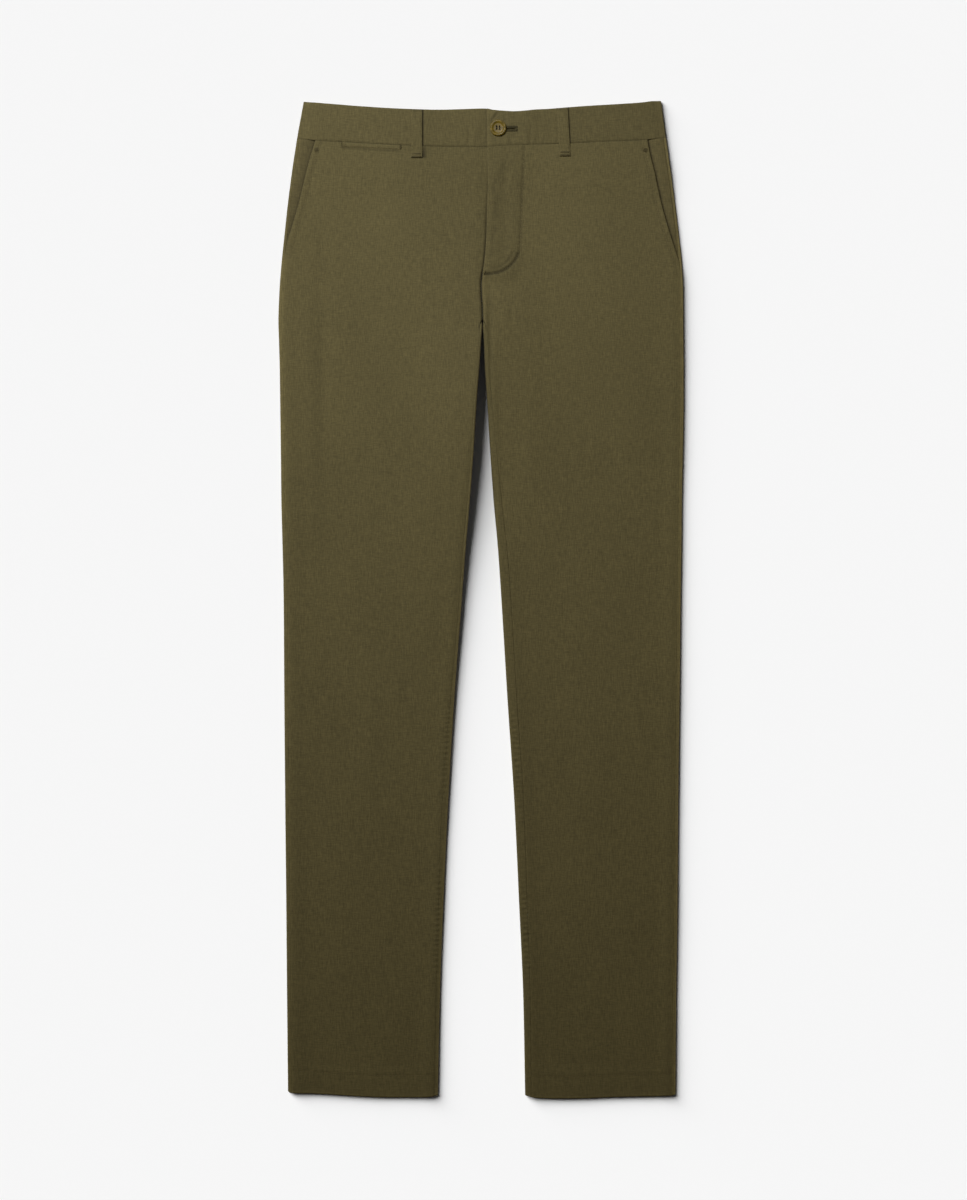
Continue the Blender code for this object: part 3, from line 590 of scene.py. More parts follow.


# Painted light and shade on the fronts: painted highlights along seams, outer edges and the hem; painted
# shade in the waist, fly and crotch seams, over the fly, in the troughs and along the sewn lines; painted
# shadow beside the slant edge, under the welt and beside the loops; painted light over the outseam below the
# slant; the middle term lightens one front and darkens the other near the middle line, and the puckers get
# painted light and shade.
def frontShade(side, u, down):
    look, x = panelLook[side], side * u
    fromInner, fromOuter = u - frontInner(side, down), frontOuter(side, down) - u
    toSeam = np.minimum(np.abs(fromInner), fromOuter) if side == left else fromOuter
    shade = 1 + panelLook["seamPale"] * bell(toSeam - 0.8, 1.2)
    shade = shade - panelLook["waistDark"] * bell(down - waistSeam(x), 1.5)
    flySeam = window(down, 70, fly["endDown"] + 10, panel["legsDown"], panel["legsDown"] + 8)
    dark = mix(*look["seamDark"], ease(down, look["seamFrom"], 200))
    shade = shade - flySeam * dark * bell(fromInner, mix(*look["seamWide"], ease(down, 160, 190)))
    shade = shade + look["middle"] * (1 - ease(u, 30, 120)) * (1 - ease(down, 420, 560))
    if side == left:
        shade = shade - panelLook["overFly"] * flyShown(down) * (1 - ease(fromInner, 33, 42))
    else:
        onSlant = 1 - ease(down, slantEnd[side] - 8, slantEnd[side] + 8)
        underWelt = window(x, welt["x0"], welt["x0"] + 2, welt["x1"] - 2, welt["x1"])
        underWelt = underWelt * bell(down - waistSeam(x) - welt["depth"] - 1.3, 0.9)
        shade = shade - panelLook["slantDark"] * bell(fromOuter, 1.6) * onSlant
        shade = shade - panelLook["underWelt"] * underWelt
    shade = shade - panelLook["loopDark"] * besideLoops(x, down)
    shade = shade + panelLook["outseamPale"] * bell(fromOuter, 0.9) * (down > slantEnd[side])
    dark, at, wide = look["trough"]
    shade = shade - dark * bell(u - at, wide) * window(down, *look["troughReach"])
    shade = shade + panelLook["puckers"] * legPuckers(side, u, down)
    shade = shade + edgePaintedLight(side, u, down) + hemPaintedLight(x, down)
    for line in sewnLines.values():
        if line["side"] == side:
            distance, _ = nearPath(line["path"], x, down, pulled["reach"])
            shade = shade - line["dark"] * bell(distance, 1.3 * line["wide"])
    return shade


def makeFront(side, name):
    levels = panelRows()
    middle, steps = (34, edgeSteps) if side == right else (24, flySteps)

    def columns(downs):
        return acrossColumns(frontInner(side, downs), frontOuter(side, downs), middle, steps)

    level = np.repeat(levels[:, None], columns(levels).shape[1], 1)
    down = curvedDown(side * columns(levels), level)
    u = np.stack([columns(down[:, j])[:, j] for j in range(down.shape[1])], 1)
    keep = None
    if side == right:
        lapU, lapDown = underlapColumns(levels[:, None])
        lapped = lapU.shape[1]
        u, down = np.concatenate([lapU, u], 1), np.concatenate([lapDown, down], 1)
        level = np.repeat(levels[:, None], u.shape[1], 1)
        keep = np.ones((u.shape[0] - 1, u.shape[1] - 1), bool)
        keep[:, :lapped] = level[:-1, :lapped] < fly["endDown"] - 2
    fromInner, fromOuter = u - frontInner(side, down), frontOuter(side, down) - u
    z = frontSurface(side, u, down)
    z = z - turnedEdge(fromOuter) * np.where(down < slantEnd[side] + 8, panelLook[side]["slantTurn"], 0.12)
    if side == left:
        z = z - turnedEdge(fromInner) * np.where(down < panel["legsDown"], 1, 0.15)
    piece = gridMesh(name, side * u, down, z, keep, hemWeights(level), frontShade(side, u, down))
    return thicken(facingUp(piece), panel["hemCloth"], True)


def halfTurn(low, high, angle):
    # the height on a fold that turns from low to high
    return (high + low) / 2 + (high - low) / 2 * math.sin(angle)


# Painted light on the backs: paler outer edges, outseam, inner roll of the right back, outer wall of the left
# back and hem; the puckers get painted light and shade.
def backShade(side, x, down, z):
    look, u = panelLook[side], side * x
    toOuter = leg[side]["outer"](down) - u
    atInner = bell(u - leg[side]["inner"](down), 2.0) * ease(down, 300, 420)
    onSeam = bell(toOuter - leg[side]["outseam"](down), 0.9)
    pale = edgePaintedLight(side, u, down) + panelLook["backOutseam"] * onSeam + look["backInner"] * atInner
    shade = 1 + pale * (z > 1) + hemPaintedLight(x, down) + look["backOuter"] * bell(toOuter, 1.3) * (z > 0.8)
    return shade + panelLook["puckers"] * legPuckers(side, u, down) * (z > 2)


def makeBack(side, name):
    levels = panelRows()
    turns = np.radians(np.arange(90, -91, -18))
    columns = [("outseam", t) for t in (0, 0.25, 0.6)]
    columns += [("outer", a) for a in turns]
    columns += [("floor", t) for t in np.linspace(0.02, 0.98, 24)]
    floorLast = len(columns) - 1
    columns += [("inner", a) for a in reversed(turns)]
    columns += [("inseam", t) for t in (0.1, 0.22, 0.36, 0.52, 0.68, 0.82, 0.93, 1.0)]
    roll = height["roll"]

    def upper(u, down):
        return frontHeight(side, u, down) - edgeFall(side, u, down)

    def column(kind, value, down):
        outer, inner = leg[side]["outer"](down), leg[side]["inner"](down)
        drop, isOpen = pocketDrop(side, down), ease(down, panel["crotchDown"], panel["legsDown"])
        seamU = outer - leg[side]["outseam"](down) + panel["seamGap"]
        floorEnd = mix(side * panel["backSeamX"] + panel["seamGap"], inner + roll, isOpen)
        if kind == "outseam":
            u = mix(seamU, np.maximum(outer - roll, seamU + 0.1), value)
            return u, upper(u, down) - drop - 0.1 * turnedEdge(u - seamU)
        if kind == "outer":
            low, high = underside(side, outer, down), upper(outer - roll, down) - drop
            return outer - roll * (1 - math.cos(value)), halfTurn(low, high, value)
        if kind == "floor":
            u = mix(outer - roll, floorEnd, value)
            return u, underside(side, u, down)
        if kind == "inner":
            low, high = underside(side, inner + roll, down), upper(inner + roll, down)
            u = inner + roll * (1 - math.cos(value))
            return mix(floorEnd, u, isOpen), mix(low, halfTurn(low, high, value), isOpen)
        seamIn = inner + leg[side]["inseam"](down) - panel["seamGap"]
        u = mix(inner + roll, np.maximum(seamIn, inner + roll + 0.1), value)
        z = upper(u, down) - 0.15 * turnedEdge(seamIn - u)
        return u, z + pulled["inseam"] * legPuckers(side, u, down)

    grid = []
    for kind, value in columns:
        firstU, _ = column(kind, value, levels)
        down = curvedDown(side * firstU, levels)
        u, z = column(kind, value, down)
        grid.append((side * u, down, z))
    x, down, z = (np.stack([part[k] for part in grid], 1) for k in range(3))
    level = np.repeat(levels[:, None], x.shape[1], 1)
    keep = np.ones((x.shape[0] - 1, x.shape[1] - 1), bool)
    keep[:, floorLast:] = level[:-1, floorLast:-1] >= panel["crotchDown"]
    z = z + softWaves(x, down) * (z > underside(side, np.abs(x), down) + 2)
    piece = gridMesh(name, x, down, z, keep, hemWeights(level), backShade(side, x, down, z))
    low = [face.normal.z for face in piece.data.polygons if face.center.z < 1.2 * mm]
    if np.median(low) > 0:
        piece.data.flip_normals()
    return thicken(piece, panel["hemCloth"], True)


# tone, dark and edgeDark are painted shade on the bearers: the right one darker all over, both darker towards
# the slant edge, and edgeDark the painted shadow of the front's edge
sidePocket = {
    "width": 134, "corner": 60, "cloth": 1.0, "gap": 0.45, "dip": 1.0, "topRise": 0.4,
    right: {"tone": 0.95, "dark": 0.19, "edgeDark": 0.28, "dipWide": 7},
    left: {"tone": 1, "dark": 0.12, "edgeDark": 0.5, "dipWide": 3.5},
}


def makeSidePocket(side, name):
    levels = np.arange(panel["seamDown"], panel["pocketDown"] + 0.01, 2.0)[:, None]
    shares = np.concatenate([np.linspace(0, 0.22, 24), np.linspace(0.25, 1, 20)])[None, :]
    corner, look, end = sidePocket["corner"], sidePocket[side], slantEnd[side]

    def outerEdge(down):
        outer = leg[side]["outer"](down) - leg[side]["outseam"](down) - panel["seamGap"]
        return outer - 8 * ease(down, end - 20, end + 40)

    def columns(down):
        outer, t = outerEdge(down), np.clip((down - panel["pocketDown"] + corner) / corner, 0, 1)
        inner = outer - sidePocket["width"] + corner * (1 - np.sqrt(1 - t * t))
        return mix(outer, inner, shares)

    down = curvedDown(side * columns(levels), levels)
    u = columns(down)
    toOuter, fromSlant = outerEdge(down) - u, u - slant[side](down)
    z = frontHeight(side, u, down) - panel["cloth"] - sidePocket["gap"] - edgeFall(side, u, down)
    shownTop = (1 - ease(down - waistSeam(side * u), 1, 9)) * ease(fromSlant, 0, 2.5)
    z = z + sidePocket["topRise"] * shownTop - 0.05 * turnedEdge(toOuter)
    z = z + 0.1 * (1 - ease(down, end - 30, end)) * puckers(down, 23, side)
    besideEdge = bell(fromSlant - 0.5, look["dipWide"]) * (1 - ease(down, end - 12, end))
    z = z - sidePocket["dip"] * besideEdge
    atEdge = bell(fromSlant - 0.6, 1.1) * (1 - ease(down, end - 25, end))
    # painted shade beside and at the slant edge, and painted light along the outer seam
    shade = look["tone"] - look["dark"] * besideEdge - look["edgeDark"] * atEdge
    shade = shade + panelLook["backOutseam"] * bell(toOuter, 0.9)
    piece = gridMesh(name, side * u, down, z, shade=shade)
    return thicken(facingUp(piece), sidePocket["cloth"])


waistband = {
    "rise": 1.5, "top": 6.0, "roll": 2.2, "lapTop": 7.5, "lapX": (46, 66), "thick": 1.5, "depth": 38,
    "sideDown": 25, "lapDown": 30, "sink": 1.1, "sinkWide": 16,
    "slitX": (16.0, 35.4), "slitAcross": 0.478, "slitHalf": 0.5,
    "folds": ((-14, 1.6, 0.7), (-8, 2.4, -0.35), (0.5, 1.6, 0.5), (50.8, 1.5, 0.7), (45, 3, -0.3)),
    # foldShades, creaseDark and lapEdge are painted shade and a painted highlight on the band
    "foldShades": ((-14, 0.08), (29, 0.06), (51, 0.1), (0.5, 0.05)),
    "creaseX": 14.5, "creaseDown": 15.5, "creaseSlope": 0.74, "creaseDark": 0.3, "lapEdge": 0.14,
}


def bandEdge(side):
    return float(leg[side]["outer"](waistband["sideDown"]))


def bandHeight(side, u):
    if side == right:
        lapEdge = -flyU(right, waistband["lapDown"])
        return waistband["top"] - 0.8 * ease(-u, lapEdge - 10, lapEdge - 1)
    return mix(waistband["lapTop"], waistband["top"], ease(u, *waistband["lapX"]))


def bandSink(side, u):
    # the ends of the band come down to the floor
    return waistband["sink"] * bell(bandEdge(side) - u, waistband["sinkWide"])


def fromButtonCrease(x, down):
    # across the short crease that runs up from the button
    return x - waistband["creaseX"] + waistband["creaseSlope"] * (down - waistband["creaseDown"])


def bandRelief(x, down):
    # small upright puckers, deepest over the waist seam and round the button
    fromSeam, fromCrease = waistSeam(x) - down, fromButtonCrease(x, down)
    z = 0.17 * bell(fromSeam - 5, 7) * puckers(x, 8.5, 2) * ease(np.abs(x), 0, 10)
    for at, width, deep in waistband["folds"]:
        z = z - deep * bell(x - at, width) * bell(fromSeam - 9, 12)
    z = z - (0.5 * bell(fromCrease - 1.2, 1.5) - 0.45 * bell(fromCrease + 2.8, 2.3)) * bell(down - 16, 6.5)
    z = z - waistGroove(x) * bell(fromSeam - 0.2, 0.9) - 0.3 * bell(down - topEdge(x), 0.7)
    return z + 0.12 * np.sin(x / 15 + 1) * np.sin(down / 9 + x / 40)


# Painted light and shade on the band: shade in the waist seam, the folds and the button's crease, a highlight
# along the top edge, a highlight on the left lap edge and shade beside it on the right band, shadow beside
# the loops, and the top a little darker all over and more towards the wearer's left
def bandShade(side, x, down, z):
    onTop = z > 4.5
    seamDark = mix(0.1, 0.02, ease(np.abs(x), 168, 180))
    shade = 1 - seamDark * bell(down - waistSeam(x), 1.2) + 0.08 * bell(down - topEdge(x) - 0.8, 1.2)
    crease = bell(down - 16.5, 6) * bell(fromButtonCrease(x, down) + 0.6, 1.3)
    toLap = x - flyEdge(waistband["lapDown"])
    atLap = bell(toLap - 0.6, 0.9) if side == left else -bell(toLap + 1.2, 2.2)
    change = waistband["lapEdge"] * atLap - waistband["creaseDark"] * crease - 0.03 - 0.06 * ease(x, 20, 150)
    for at, dark in waistband["foldShades"]:
        change = change - dark * bell(x - at, 1.1) * bell(down - waistSeam(x) + 9, 8)
    return shade + onTop * (change - besideLoops(x, down))


def makeWaistband(side, name):
    edge, end = bandEdge(side), float(flyU(side, waistband["lapDown"]))
    low, top, roll = waistband["rise"], waistband["top"], waistband["roll"]
    if side == right:
        end = end - fly["width"]
    front = np.arange(edge - roll - 1.4, end, -1.0)
    if side == left:
        front = front[(front > 37) | (front < waistband["slitX"][1])]
    stations = [("back", side * panel["backSeamX"] + panel["seamGap"])]
    stations += [("back", u) for u in np.arange(2.0, edge - roll, 1.4)]
    stations += [("fold", a) for a in np.radians(np.linspace(-90, 90, 13))]
    stations += [("front", u) for u in front] + [("front", end)]
    slit, halfSlit = waistband["slitAcross"], waistband["slitHalf"] / waistband["depth"]
    across = np.concatenate([
        [0, 0.012, 0.03], np.linspace(0.06, slit - halfSlit, 12), np.linspace(slit + halfSlit, 0.94, 12),
        [0.97, 0.988, 1],
    ])
    grid = []
    for kind, value in stations:
        x = np.full(across.shape, side * (edge if kind == "fold" else value))
        for _ in range(2):  # twice, because the lines of the edges depend on x
            upper = topEdge(x) + (ease(edge - abs(value), 2, 30) if kind == "back" else 0)
            down = mix(waistSeam(x), upper, across)
            shift = leg[side]["outer"](down) - edge
            if kind == "fold":
                u = edge + shift - roll * (1 - math.cos(value))
                high = top - edgeFall(side, edge + shift - roll, down)
                z = halfTurn(low, high, value) - bandSink(side, edge - roll)
            else:
                u = value + shift * ease(value, 90, edge - roll)
                upperZ = bandHeight(side, u) - edgeFall(side, u, down)
                z = (np.full_like(u, low) if kind == "back" else upperZ) - bandSink(side, value)
            x = side * u
        if kind == "front":
            z = z + bandRelief(x, down)
            if side == left:
                z = z - turnedEdge(u - end)
        grid.append((x, down, z))
    x, down, z = (np.stack([part[k] for part in grid]) for k in range(3))
    keep = np.ones((x.shape[0] - 1, x.shape[1] - 1), bool)
    if side == left:
        slitRow = int(np.searchsorted(across, slit)) - 1
        isFront = np.array([kind == "front" for kind, _ in stations])
        middles = (x[:-1, slitRow] + x[1:, slitRow]) / 2
        inSlit = (middles > waistband["slitX"][0]) & (middles < waistband["slitX"][1])
        keep[:, slitRow] = ~(inSlit & isFront[:-1])
    piece = gridMesh(name, x, down, z, keep, None, bandShade(side, x, down, z))
    upward = [face.normal.z for face in piece.data.polygons if face.center.z > 5 * mm]
    if np.median(upward) < 0:
        piece.data.flip_normals()
    return thicken(piece, waistband["thick"])


sides = {right: "Right", left: "Left"}
fronts = {side: makeFront(side, "front" + name) for side, name in sides.items()}
print("fronts made")
backs = {side: makeBack(side, "back" + name) for side, name in sides.items()}
print("backs made")
pockets = {side: makeSidePocket(side, "pocket" + name) for side, name in sides.items()}
bands = {side: makeWaistband(side, "band" + name) for side, name in sides.items()}
print("pockets and waistband made")


def loopPoint(loop, x, down):
    # upper face of a front loop
    side = loop["side"]
    top, end = float(topEdge(loop["topX"])) + 0.5, loop["endDown"]
    share = (down - top) / (end - top)
    centre = mix(loop["topX"], loop["endX"], share)
    seam = float(waistSeam(loop["endX"]))
    onBand = bandHeight(side, side * (centre + x))
    onFront = frontHeight(side, side * (centre + x), np.maximum(down, seam))
    base = mix(onBand, np.maximum(onFront, onBand - 0.4), ease(down, seam - 2, seam + 6))
    stand = beltLoop["stand"] * np.sin(math.pi * np.minimum(share / 0.85, 1))
    block = beltLoop["folded"] * ease(down, end - beltLoop["block"] - 1, end - beltLoop["block"])
    rounded = 0.5 * np.abs(x / beltLoop["width"] * 2) ** 6
    atEnd = 0.6 * bell(end - down, 0.6) + 0.5 * bell(down - top, 0.9)
    fold = 0.3 * bell(down - (end - beltLoop["block"]), 0.7)
    wave = 0.12 * np.sin(down / 4.1 + loop["topX"]) * bell(x - 2, 4)
    return centre + x, base + 0.3 + stand + beltLoop["cloth"] + block - rounded - atEnd - fold + wave


def makeFrontLoop(name):
    loop = frontLoops[name]
    top = float(topEdge(loop["topX"])) + 0.5
    shares = np.array([0, 0.03, 0.08, 0.15, *np.linspace(0.22, 0.78, 9), 0.85, 0.92, 0.97, 1])
    downs = np.arange(top, loop["endDown"] + 0.01, 0.8)
    down, across = np.meshgrid(downs, beltLoop["width"] * (shares - 0.5), indexing="ij")
    x, z = loopPoint(loop, across, down)
    rows = 0.10 * bell(np.abs(across) - beltLoop["stitchX"], 0.5)
    # painted shade along the loop's edge towards the wearer's right and below its top fold
    shade = 1 - 0.1 * bell(across + beltLoop["width"] / 2, 0.8) - 0.2 * bell(down - top - 1.5, 1.2)
    piece = gridMesh(name, x, down, z - rows, shade=shade)
    return thicken(facingUp(piece), beltLoop["cloth"])


def makeBackLoop(name, middle):
    downs, shares = np.arange(9.5, 59.51, 1.0), np.linspace(-0.5, 0.5, 13)
    down, share = np.meshgrid(downs, shares, indexing="ij")
    z = waistband["rise"] - 0.3 - 0.25 * np.abs(share * 2) ** 6
    piece = gridMesh(name, middle + share * beltLoop["width"], down, z)
    return thicken(facingUp(piece), 0.85)


def weltHeight(x, down):
    z = frontHeight(right, -x, down) + welt["gap"] + welt["cloth"]
    fromMouth = down - waistSeam(x) - welt["from"]
    ends = np.minimum(x - welt["x0"], welt["x1"] - x)
    z = z - 0.3 * bell(fromMouth, 0.8) - 0.75 * bell(fromMouth - welt["depth"], 1.2)
    return z - 0.5 * bell(ends, 1.0)


def makeWelt():
    xs, depths = np.arange(welt["x0"], welt["x1"] + 0.01, 1.0), np.linspace(0, welt["depth"], 11)
    x, depth = np.meshgrid(xs, depths, indexing="ij")
    down = waistSeam(x) + welt["from"] + depth
    z = weltHeight(x, down) + 0.10 * puckers(x, 6, 4) * bell(depth - 4, 3)
    return thicken(facingUp(gridMesh("coinPocketWelt", x, down, z)), welt["cloth"])


# Sewing: each stitch is a short bead of thread, sunk a little into the cloth.
thread = {"length": 2.7, "gap": 0.55, "radius": 0.24, "sides": 5}


def beads(name, starts, ends, radius, bow=0.0):
    # one mesh with a rounded bead from each start to each end
    starts, ends = np.array(starts, float), np.array(ends, float)
    shape = [(0.0, 0.25), (0.12, 0.8), (0.5, 1.0), (0.88, 0.8), (1.0, 0.25)]
    sides = thread["sides"]
    axis = ends - starts
    length = np.linalg.norm(axis, axis=1, keepdims=True)
    axis = axis / length
    up = np.array([0, 0, 1.0]) - axis * axis[:, 2:3]
    up = up / np.linalg.norm(up, axis=1, keepdims=True)
    side = np.cross(axis, up)
    rings = []
    for t, wide in shape:
        centre = mix(starts, ends, t) + np.array([0, 0, bow]) * math.sin(math.pi * t)
        for k in range(sides):
            angle = math.tau * k / sides
            rings.append(centre + radius * wide * (math.cos(angle) * side + math.sin(angle) * up))
    points = np.stack(rings, 1)
    count, each = points.shape[0], points.shape[1]
    faces = []
    for r in range(len(shape) - 1):
        for k in range(sides):
            a, b = r * sides + k, r * sides + (k + 1) % sides
            faces.append([a, b, b + sides, a + sides])
    caps = [list(range(sides - 1, -1, -1)), list(range(each - sides, each))]
    every = []
    for n in range(count):
        every += [[i + n * each for i in face] for face in faces + caps]
    world = points.reshape(-1, 3) * mm
    world[:, 0] += middleX * mm
    world[:, 1] = topY * mm - world[:, 1]
    mesh = bpy.data.meshes.new(name)
    mesh.from_pydata(world.tolist(), [], every)
    mesh.update()
    mesh.shade_smooth()
    builder = bmesh.new()
    builder.from_mesh(mesh)
    bmesh.ops.recalc_face_normals(builder, faces=builder.faces)
    builder.to_mesh(mesh)
    builder.free()
    return newObject(name, mesh)


def onFront(side):
    return lambda x, down: frontSurface(side, side * x, down)


def onBand(side):
    return lambda x, down: bandHeight(side, side * x) + bandRelief(x, down)


def stitchEnds(path, top):
    # starts and ends of the stitches along a path of (x, down) points
    pitch = thread["length"] + thread["gap"]
    points = evenly(path, pitch / 12)
    first = np.arange(0, len(points) - 12, 12)
    last = first + round(12 * thread["length"] / pitch)
    jitter = rng.normal(0, 0.05, (len(first), 2))
    a, b = points[first] + jitter, points[last] + jitter
    return [np.column_stack([end, top(end[:, 0], end[:, 1]) + thread["radius"] * 0.45]) for end in (a, b)]


def stitches(name, runs):
    # runs of (path, height function) in one mesh
    ends = [stitchEnds(path, top) for path, top in runs]
    starts, stops = (np.concatenate([pair[k] for pair in ends]) for k in (0, 1))
    return beads(name, starts, stops, thread["radius"])


def barTack(x, down, across, along, top, turn=0.0):
    # close zigzag of thread: starts and ends
    count = max(4, round(along / 0.5))
    at = np.linspace(-along / 2, along / 2, count)
    cos, sin = math.cos(turn), math.sin(turn)
    ends = []
    for sign in (-1, 1):
        wide = np.full(count, sign * across / 2)
        px, pd = x + wide * cos - at * sin, down + wide * sin + at * cos
        ends.append(np.column_stack([px, pd, top(px, pd) + 0.12]))
    return ends


def barTacks(name, rows):
    pairs = [barTack(*row) for row in rows]
    starts, stops = (np.concatenate([pair[k] for pair in pairs]) for k in (0, 1))
    return beads(name, starts, stops, 0.27, 0.12)


def loopRow(loop, offset):
    downs = np.linspace(float(topEdge(loop["topX"])) + 1, loop["endDown"] - beltLoop["block"] - 1, 40)
    centre = [loopPoint(loop, np.array(0.0), np.array(d))[0] for d in downs]
    return [(float(c) + offset, d) for c, d in zip(centre, downs)]


def onLoop(loop):
    def top(x, down):
        centre, _ = loopPoint(loop, 0 * x, down)
        return loopPoint(loop, x - centre, down)[1]

    return top


tackSize = {"loop": (9.6, 1.2), "slantRight": (4.8, 4.2), "slantLeft": (4.6, 3.6), "welt": (1.3, 5.4)}


def makeSewing():
    def alongFront(side, *names):
        return [(sewnLines[name]["path"], onFront(side)) for name in names]

    offsets = (-beltLoop["stitchX"], beltLoop["stitchX"])
    alongLoops = [(loopRow(loop, offset), onLoop(loop)) for loop in frontLoops.values() for offset in offsets]
    weltXs = np.linspace(welt["x0"] + 1, welt["x1"] - 1, 60)
    alongWelt = [(x, waistSeam(x) + welt["from"] + welt["depth"] - 1.5) for x in weltXs]
    loopTacks = [
        (loop["endX"], loop["endDown"] - inset, *tackSize["loop"], onLoop(loop), 0.0)
        for loop in frontLoops.values()
        for inset in (1.4, 4.4)
    ]
    return [
        stitches("stitchesFrontRight", alongFront(right, "slantRight", "hemRight")),
        stitches("stitchesFrontLeft", alongFront(left, "slantLeft", "hemLeft", "fly")),
        stitches("stitchesLoops", alongLoops),
        stitches("stitchesWelt", [(alongWelt, weltHeight)]),
        # each: x, down, width, length, the surface under it, turn
        barTacks("barTacks", [
            (-173.4, 51.6, *tackSize["slantRight"], onFront(right), 1.3),
            (171.9, 52.1, *tackSize["slantLeft"], onFront(left), -1.3),
            (3.4, 181.4, 1.4, 4.5, onFront(left), 0.3),
            (welt["x0"] + 1.2, 46.6, *tackSize["welt"], weltHeight, 0.0),
            (welt["x1"] - 1.2, 48.6, *tackSize["welt"], weltHeight, 0.0),
            *loopTacks,
        ]),
        barTacks("flyTack", [(11.2, 107.6, 6.2, 3.0, onFront(left), 0.0)]),
    ]


# The worked buttonhole: close stitches all round the slit.
buttonhole = {"pitch": 0.72, "past": 2.2, "length": 3.0, "from": 0.3, "radius": 0.36, "bow": 0.25}


def makeButtonholeEdge():
    starts, ends = [], []
    x0, x1 = waistband["slitX"]
    for x in np.arange(x0, x1 + buttonhole["past"], buttonhole["pitch"]):
        for sign in (-1, 1):
            middle = float(mix(waistSeam(x), topEdge(x), waistband["slitAcross"]))
            near = buttonhole["from"] if x < x1 else 0.0
            base = float(onBand(left)(np.array(x), np.array(middle + 3 * sign)))
            starts.append((x, middle + sign * near, base - 0.1))
            ends.append((x + rng.normal(0, 0.05), middle + sign * (near + buttonhole["length"]), base + 0.1))
    return beads("buttonholeStitches", starts, ends, buttonhole["radius"], buttonhole["bow"])


# The button: a turned disc with a rim and a sunk middle, four drilled holes and the thread in them.
buttonShape = {
    "rim": [
        (0, 0), (6.4, 0), (7.8, 0.5), (8.5, 1.4), (8.5, 2.1), (8.1, 2.75), (7.3, 3.0), (6.4, 2.8),
        (5.6, 2.3), (4.8, 2.0), (0, 1.9),
    ],
    "holePitch": 1.5, "holeRadius": 0.85, "rounds": 96, "lower": 0.9, "base": 0.3, "tilt": (2, -3, 0),
    "strand": 0.42, "strandRadius": 0.32, "threadBow": 0.75, "shankRadius": 0.8, "shankStrands": 10,
}


def smoothProfile(points, count):
    points = np.array(points, float)
    t = np.concatenate([[0], np.cumsum(np.hypot(*np.diff(points, axis=0).T))])
    at = np.linspace(0, t[-1], count)
    return np.stack([curve(t, points[:, 0])(at), curve(t, points[:, 1])(at)], 1)


def drillMesh():
    drills, pitch, radius = bmesh.new(), buttonShape["holePitch"], buttonShape["holeRadius"]
    for across in (-pitch, pitch):
        for along in (-pitch, pitch):
            drill = bmesh.ops.create_cone(
                drills, cap_ends=True, segments=24, radius1=radius * mm, radius2=radius * 1.25 * mm,
                depth=6 * mm,
            )
            bmesh.ops.translate(drills, verts=drill["verts"], vec=(across * mm, along * mm, 1.5 * mm))
    mesh = bpy.data.meshes.new("drills")
    drills.to_mesh(mesh)
    drills.free()
    return mesh


def makeButton():
    builder = bmesh.new()
    points = [builder.verts.new((r * mm, 0, z * mm)) for r, z in smoothProfile(buttonShape["rim"], 60)]
    edges = [builder.edges.new(pair) for pair in zip(points, points[1:])]
    bmesh.ops.spin(
        builder, geom=points + edges, cent=(0, 0, 0), axis=(0, 0, 1), angle=math.tau,
        steps=buttonShape["rounds"], use_merge=True,
    )
    bmesh.ops.remove_doubles(builder, verts=builder.verts, dist=1e-6)
    bmesh.ops.recalc_face_normals(builder, faces=builder.faces)
    mesh = bpy.data.meshes.new("button")
    builder.to_mesh(mesh)
    builder.free()
    piece, cutter = newObject("button", mesh), newObject("drills", drillMesh())
    cut = piece.modifiers.new("holes", "BOOLEAN")
    cut.object = cutter
    bpy.context.view_layer.update()
    evaluated = piece.evaluated_get(bpy.context.evaluated_depsgraph_get())
    drilled = bpy.data.meshes.new_from_object(evaluated)
    piece.modifiers.clear()
    piece.data = drilled
    bpy.data.objects.remove(cutter)
    drilled.shade_smooth()
    drilled.set_sharp_from_angle(angle=math.radians(50))
    x, y = middleX + button["x"], topY - button["down"] - buttonShape["lower"]
    piece.location = (x * mm, y * mm, (waistband["lapTop"] + buttonShape["base"]) * mm)
    piece.rotation_euler = [math.radians(turn) for turn in buttonShape["tilt"]]
    return piece


def makeButtonThread():
    # strands from hole to hole, and the wound shank under the button
    x, down, pitch, strand = button["x"], button["down"], buttonShape["holePitch"], buttonShape["strand"]
    middle, z = down + buttonShape["lower"], waistband["lapTop"] + buttonShape["base"] + 1.4
    xs = [x + across * pitch + shift for across in (-1, 1) for shift in (-strand, 0.0, strand)]
    starts, ends = ([(at, middle + sign * pitch, z) for at in xs] for sign in (-1, 1))
    top = beads("buttonThread", starts, ends, buttonShape["strandRadius"], buttonShape["threadBow"])
    turns = [math.tau * k / buttonShape["shankStrands"] for k in range(buttonShape["shankStrands"])]
    radius = buttonShape["shankRadius"]
    ring = [(x + radius * math.cos(turn), down + radius * math.sin(turn)) for turn in turns]
    starts = [(at, d, 5.6) for at, d in ring]
    ends = [(at + 0.02, d, waistband["lapTop"] + 0.4) for at, d in ring]
    return [top, beads("buttonShank", starts, ends, buttonShape["strandRadius"])]


loops = {name: makeFrontLoop(name) for name in frontLoops}
backLoops = {
    "loopBackRight": makeBackLoop("loopBackRight", -beltLoop["backU"]),
    "loopBackCentre": makeBackLoop("loopBackCentre", panel["backSeamX"]),
    "loopBackLeft": makeBackLoop("loopBackLeft", beltLoop["backU"]),
}
weltPiece = makeWelt()
sewing, buttonholeEdge = makeSewing(), makeButtonholeEdge()
buttonPiece, buttonThreads = makeButton(), makeButtonThread()
print("loops, sewing and button made")


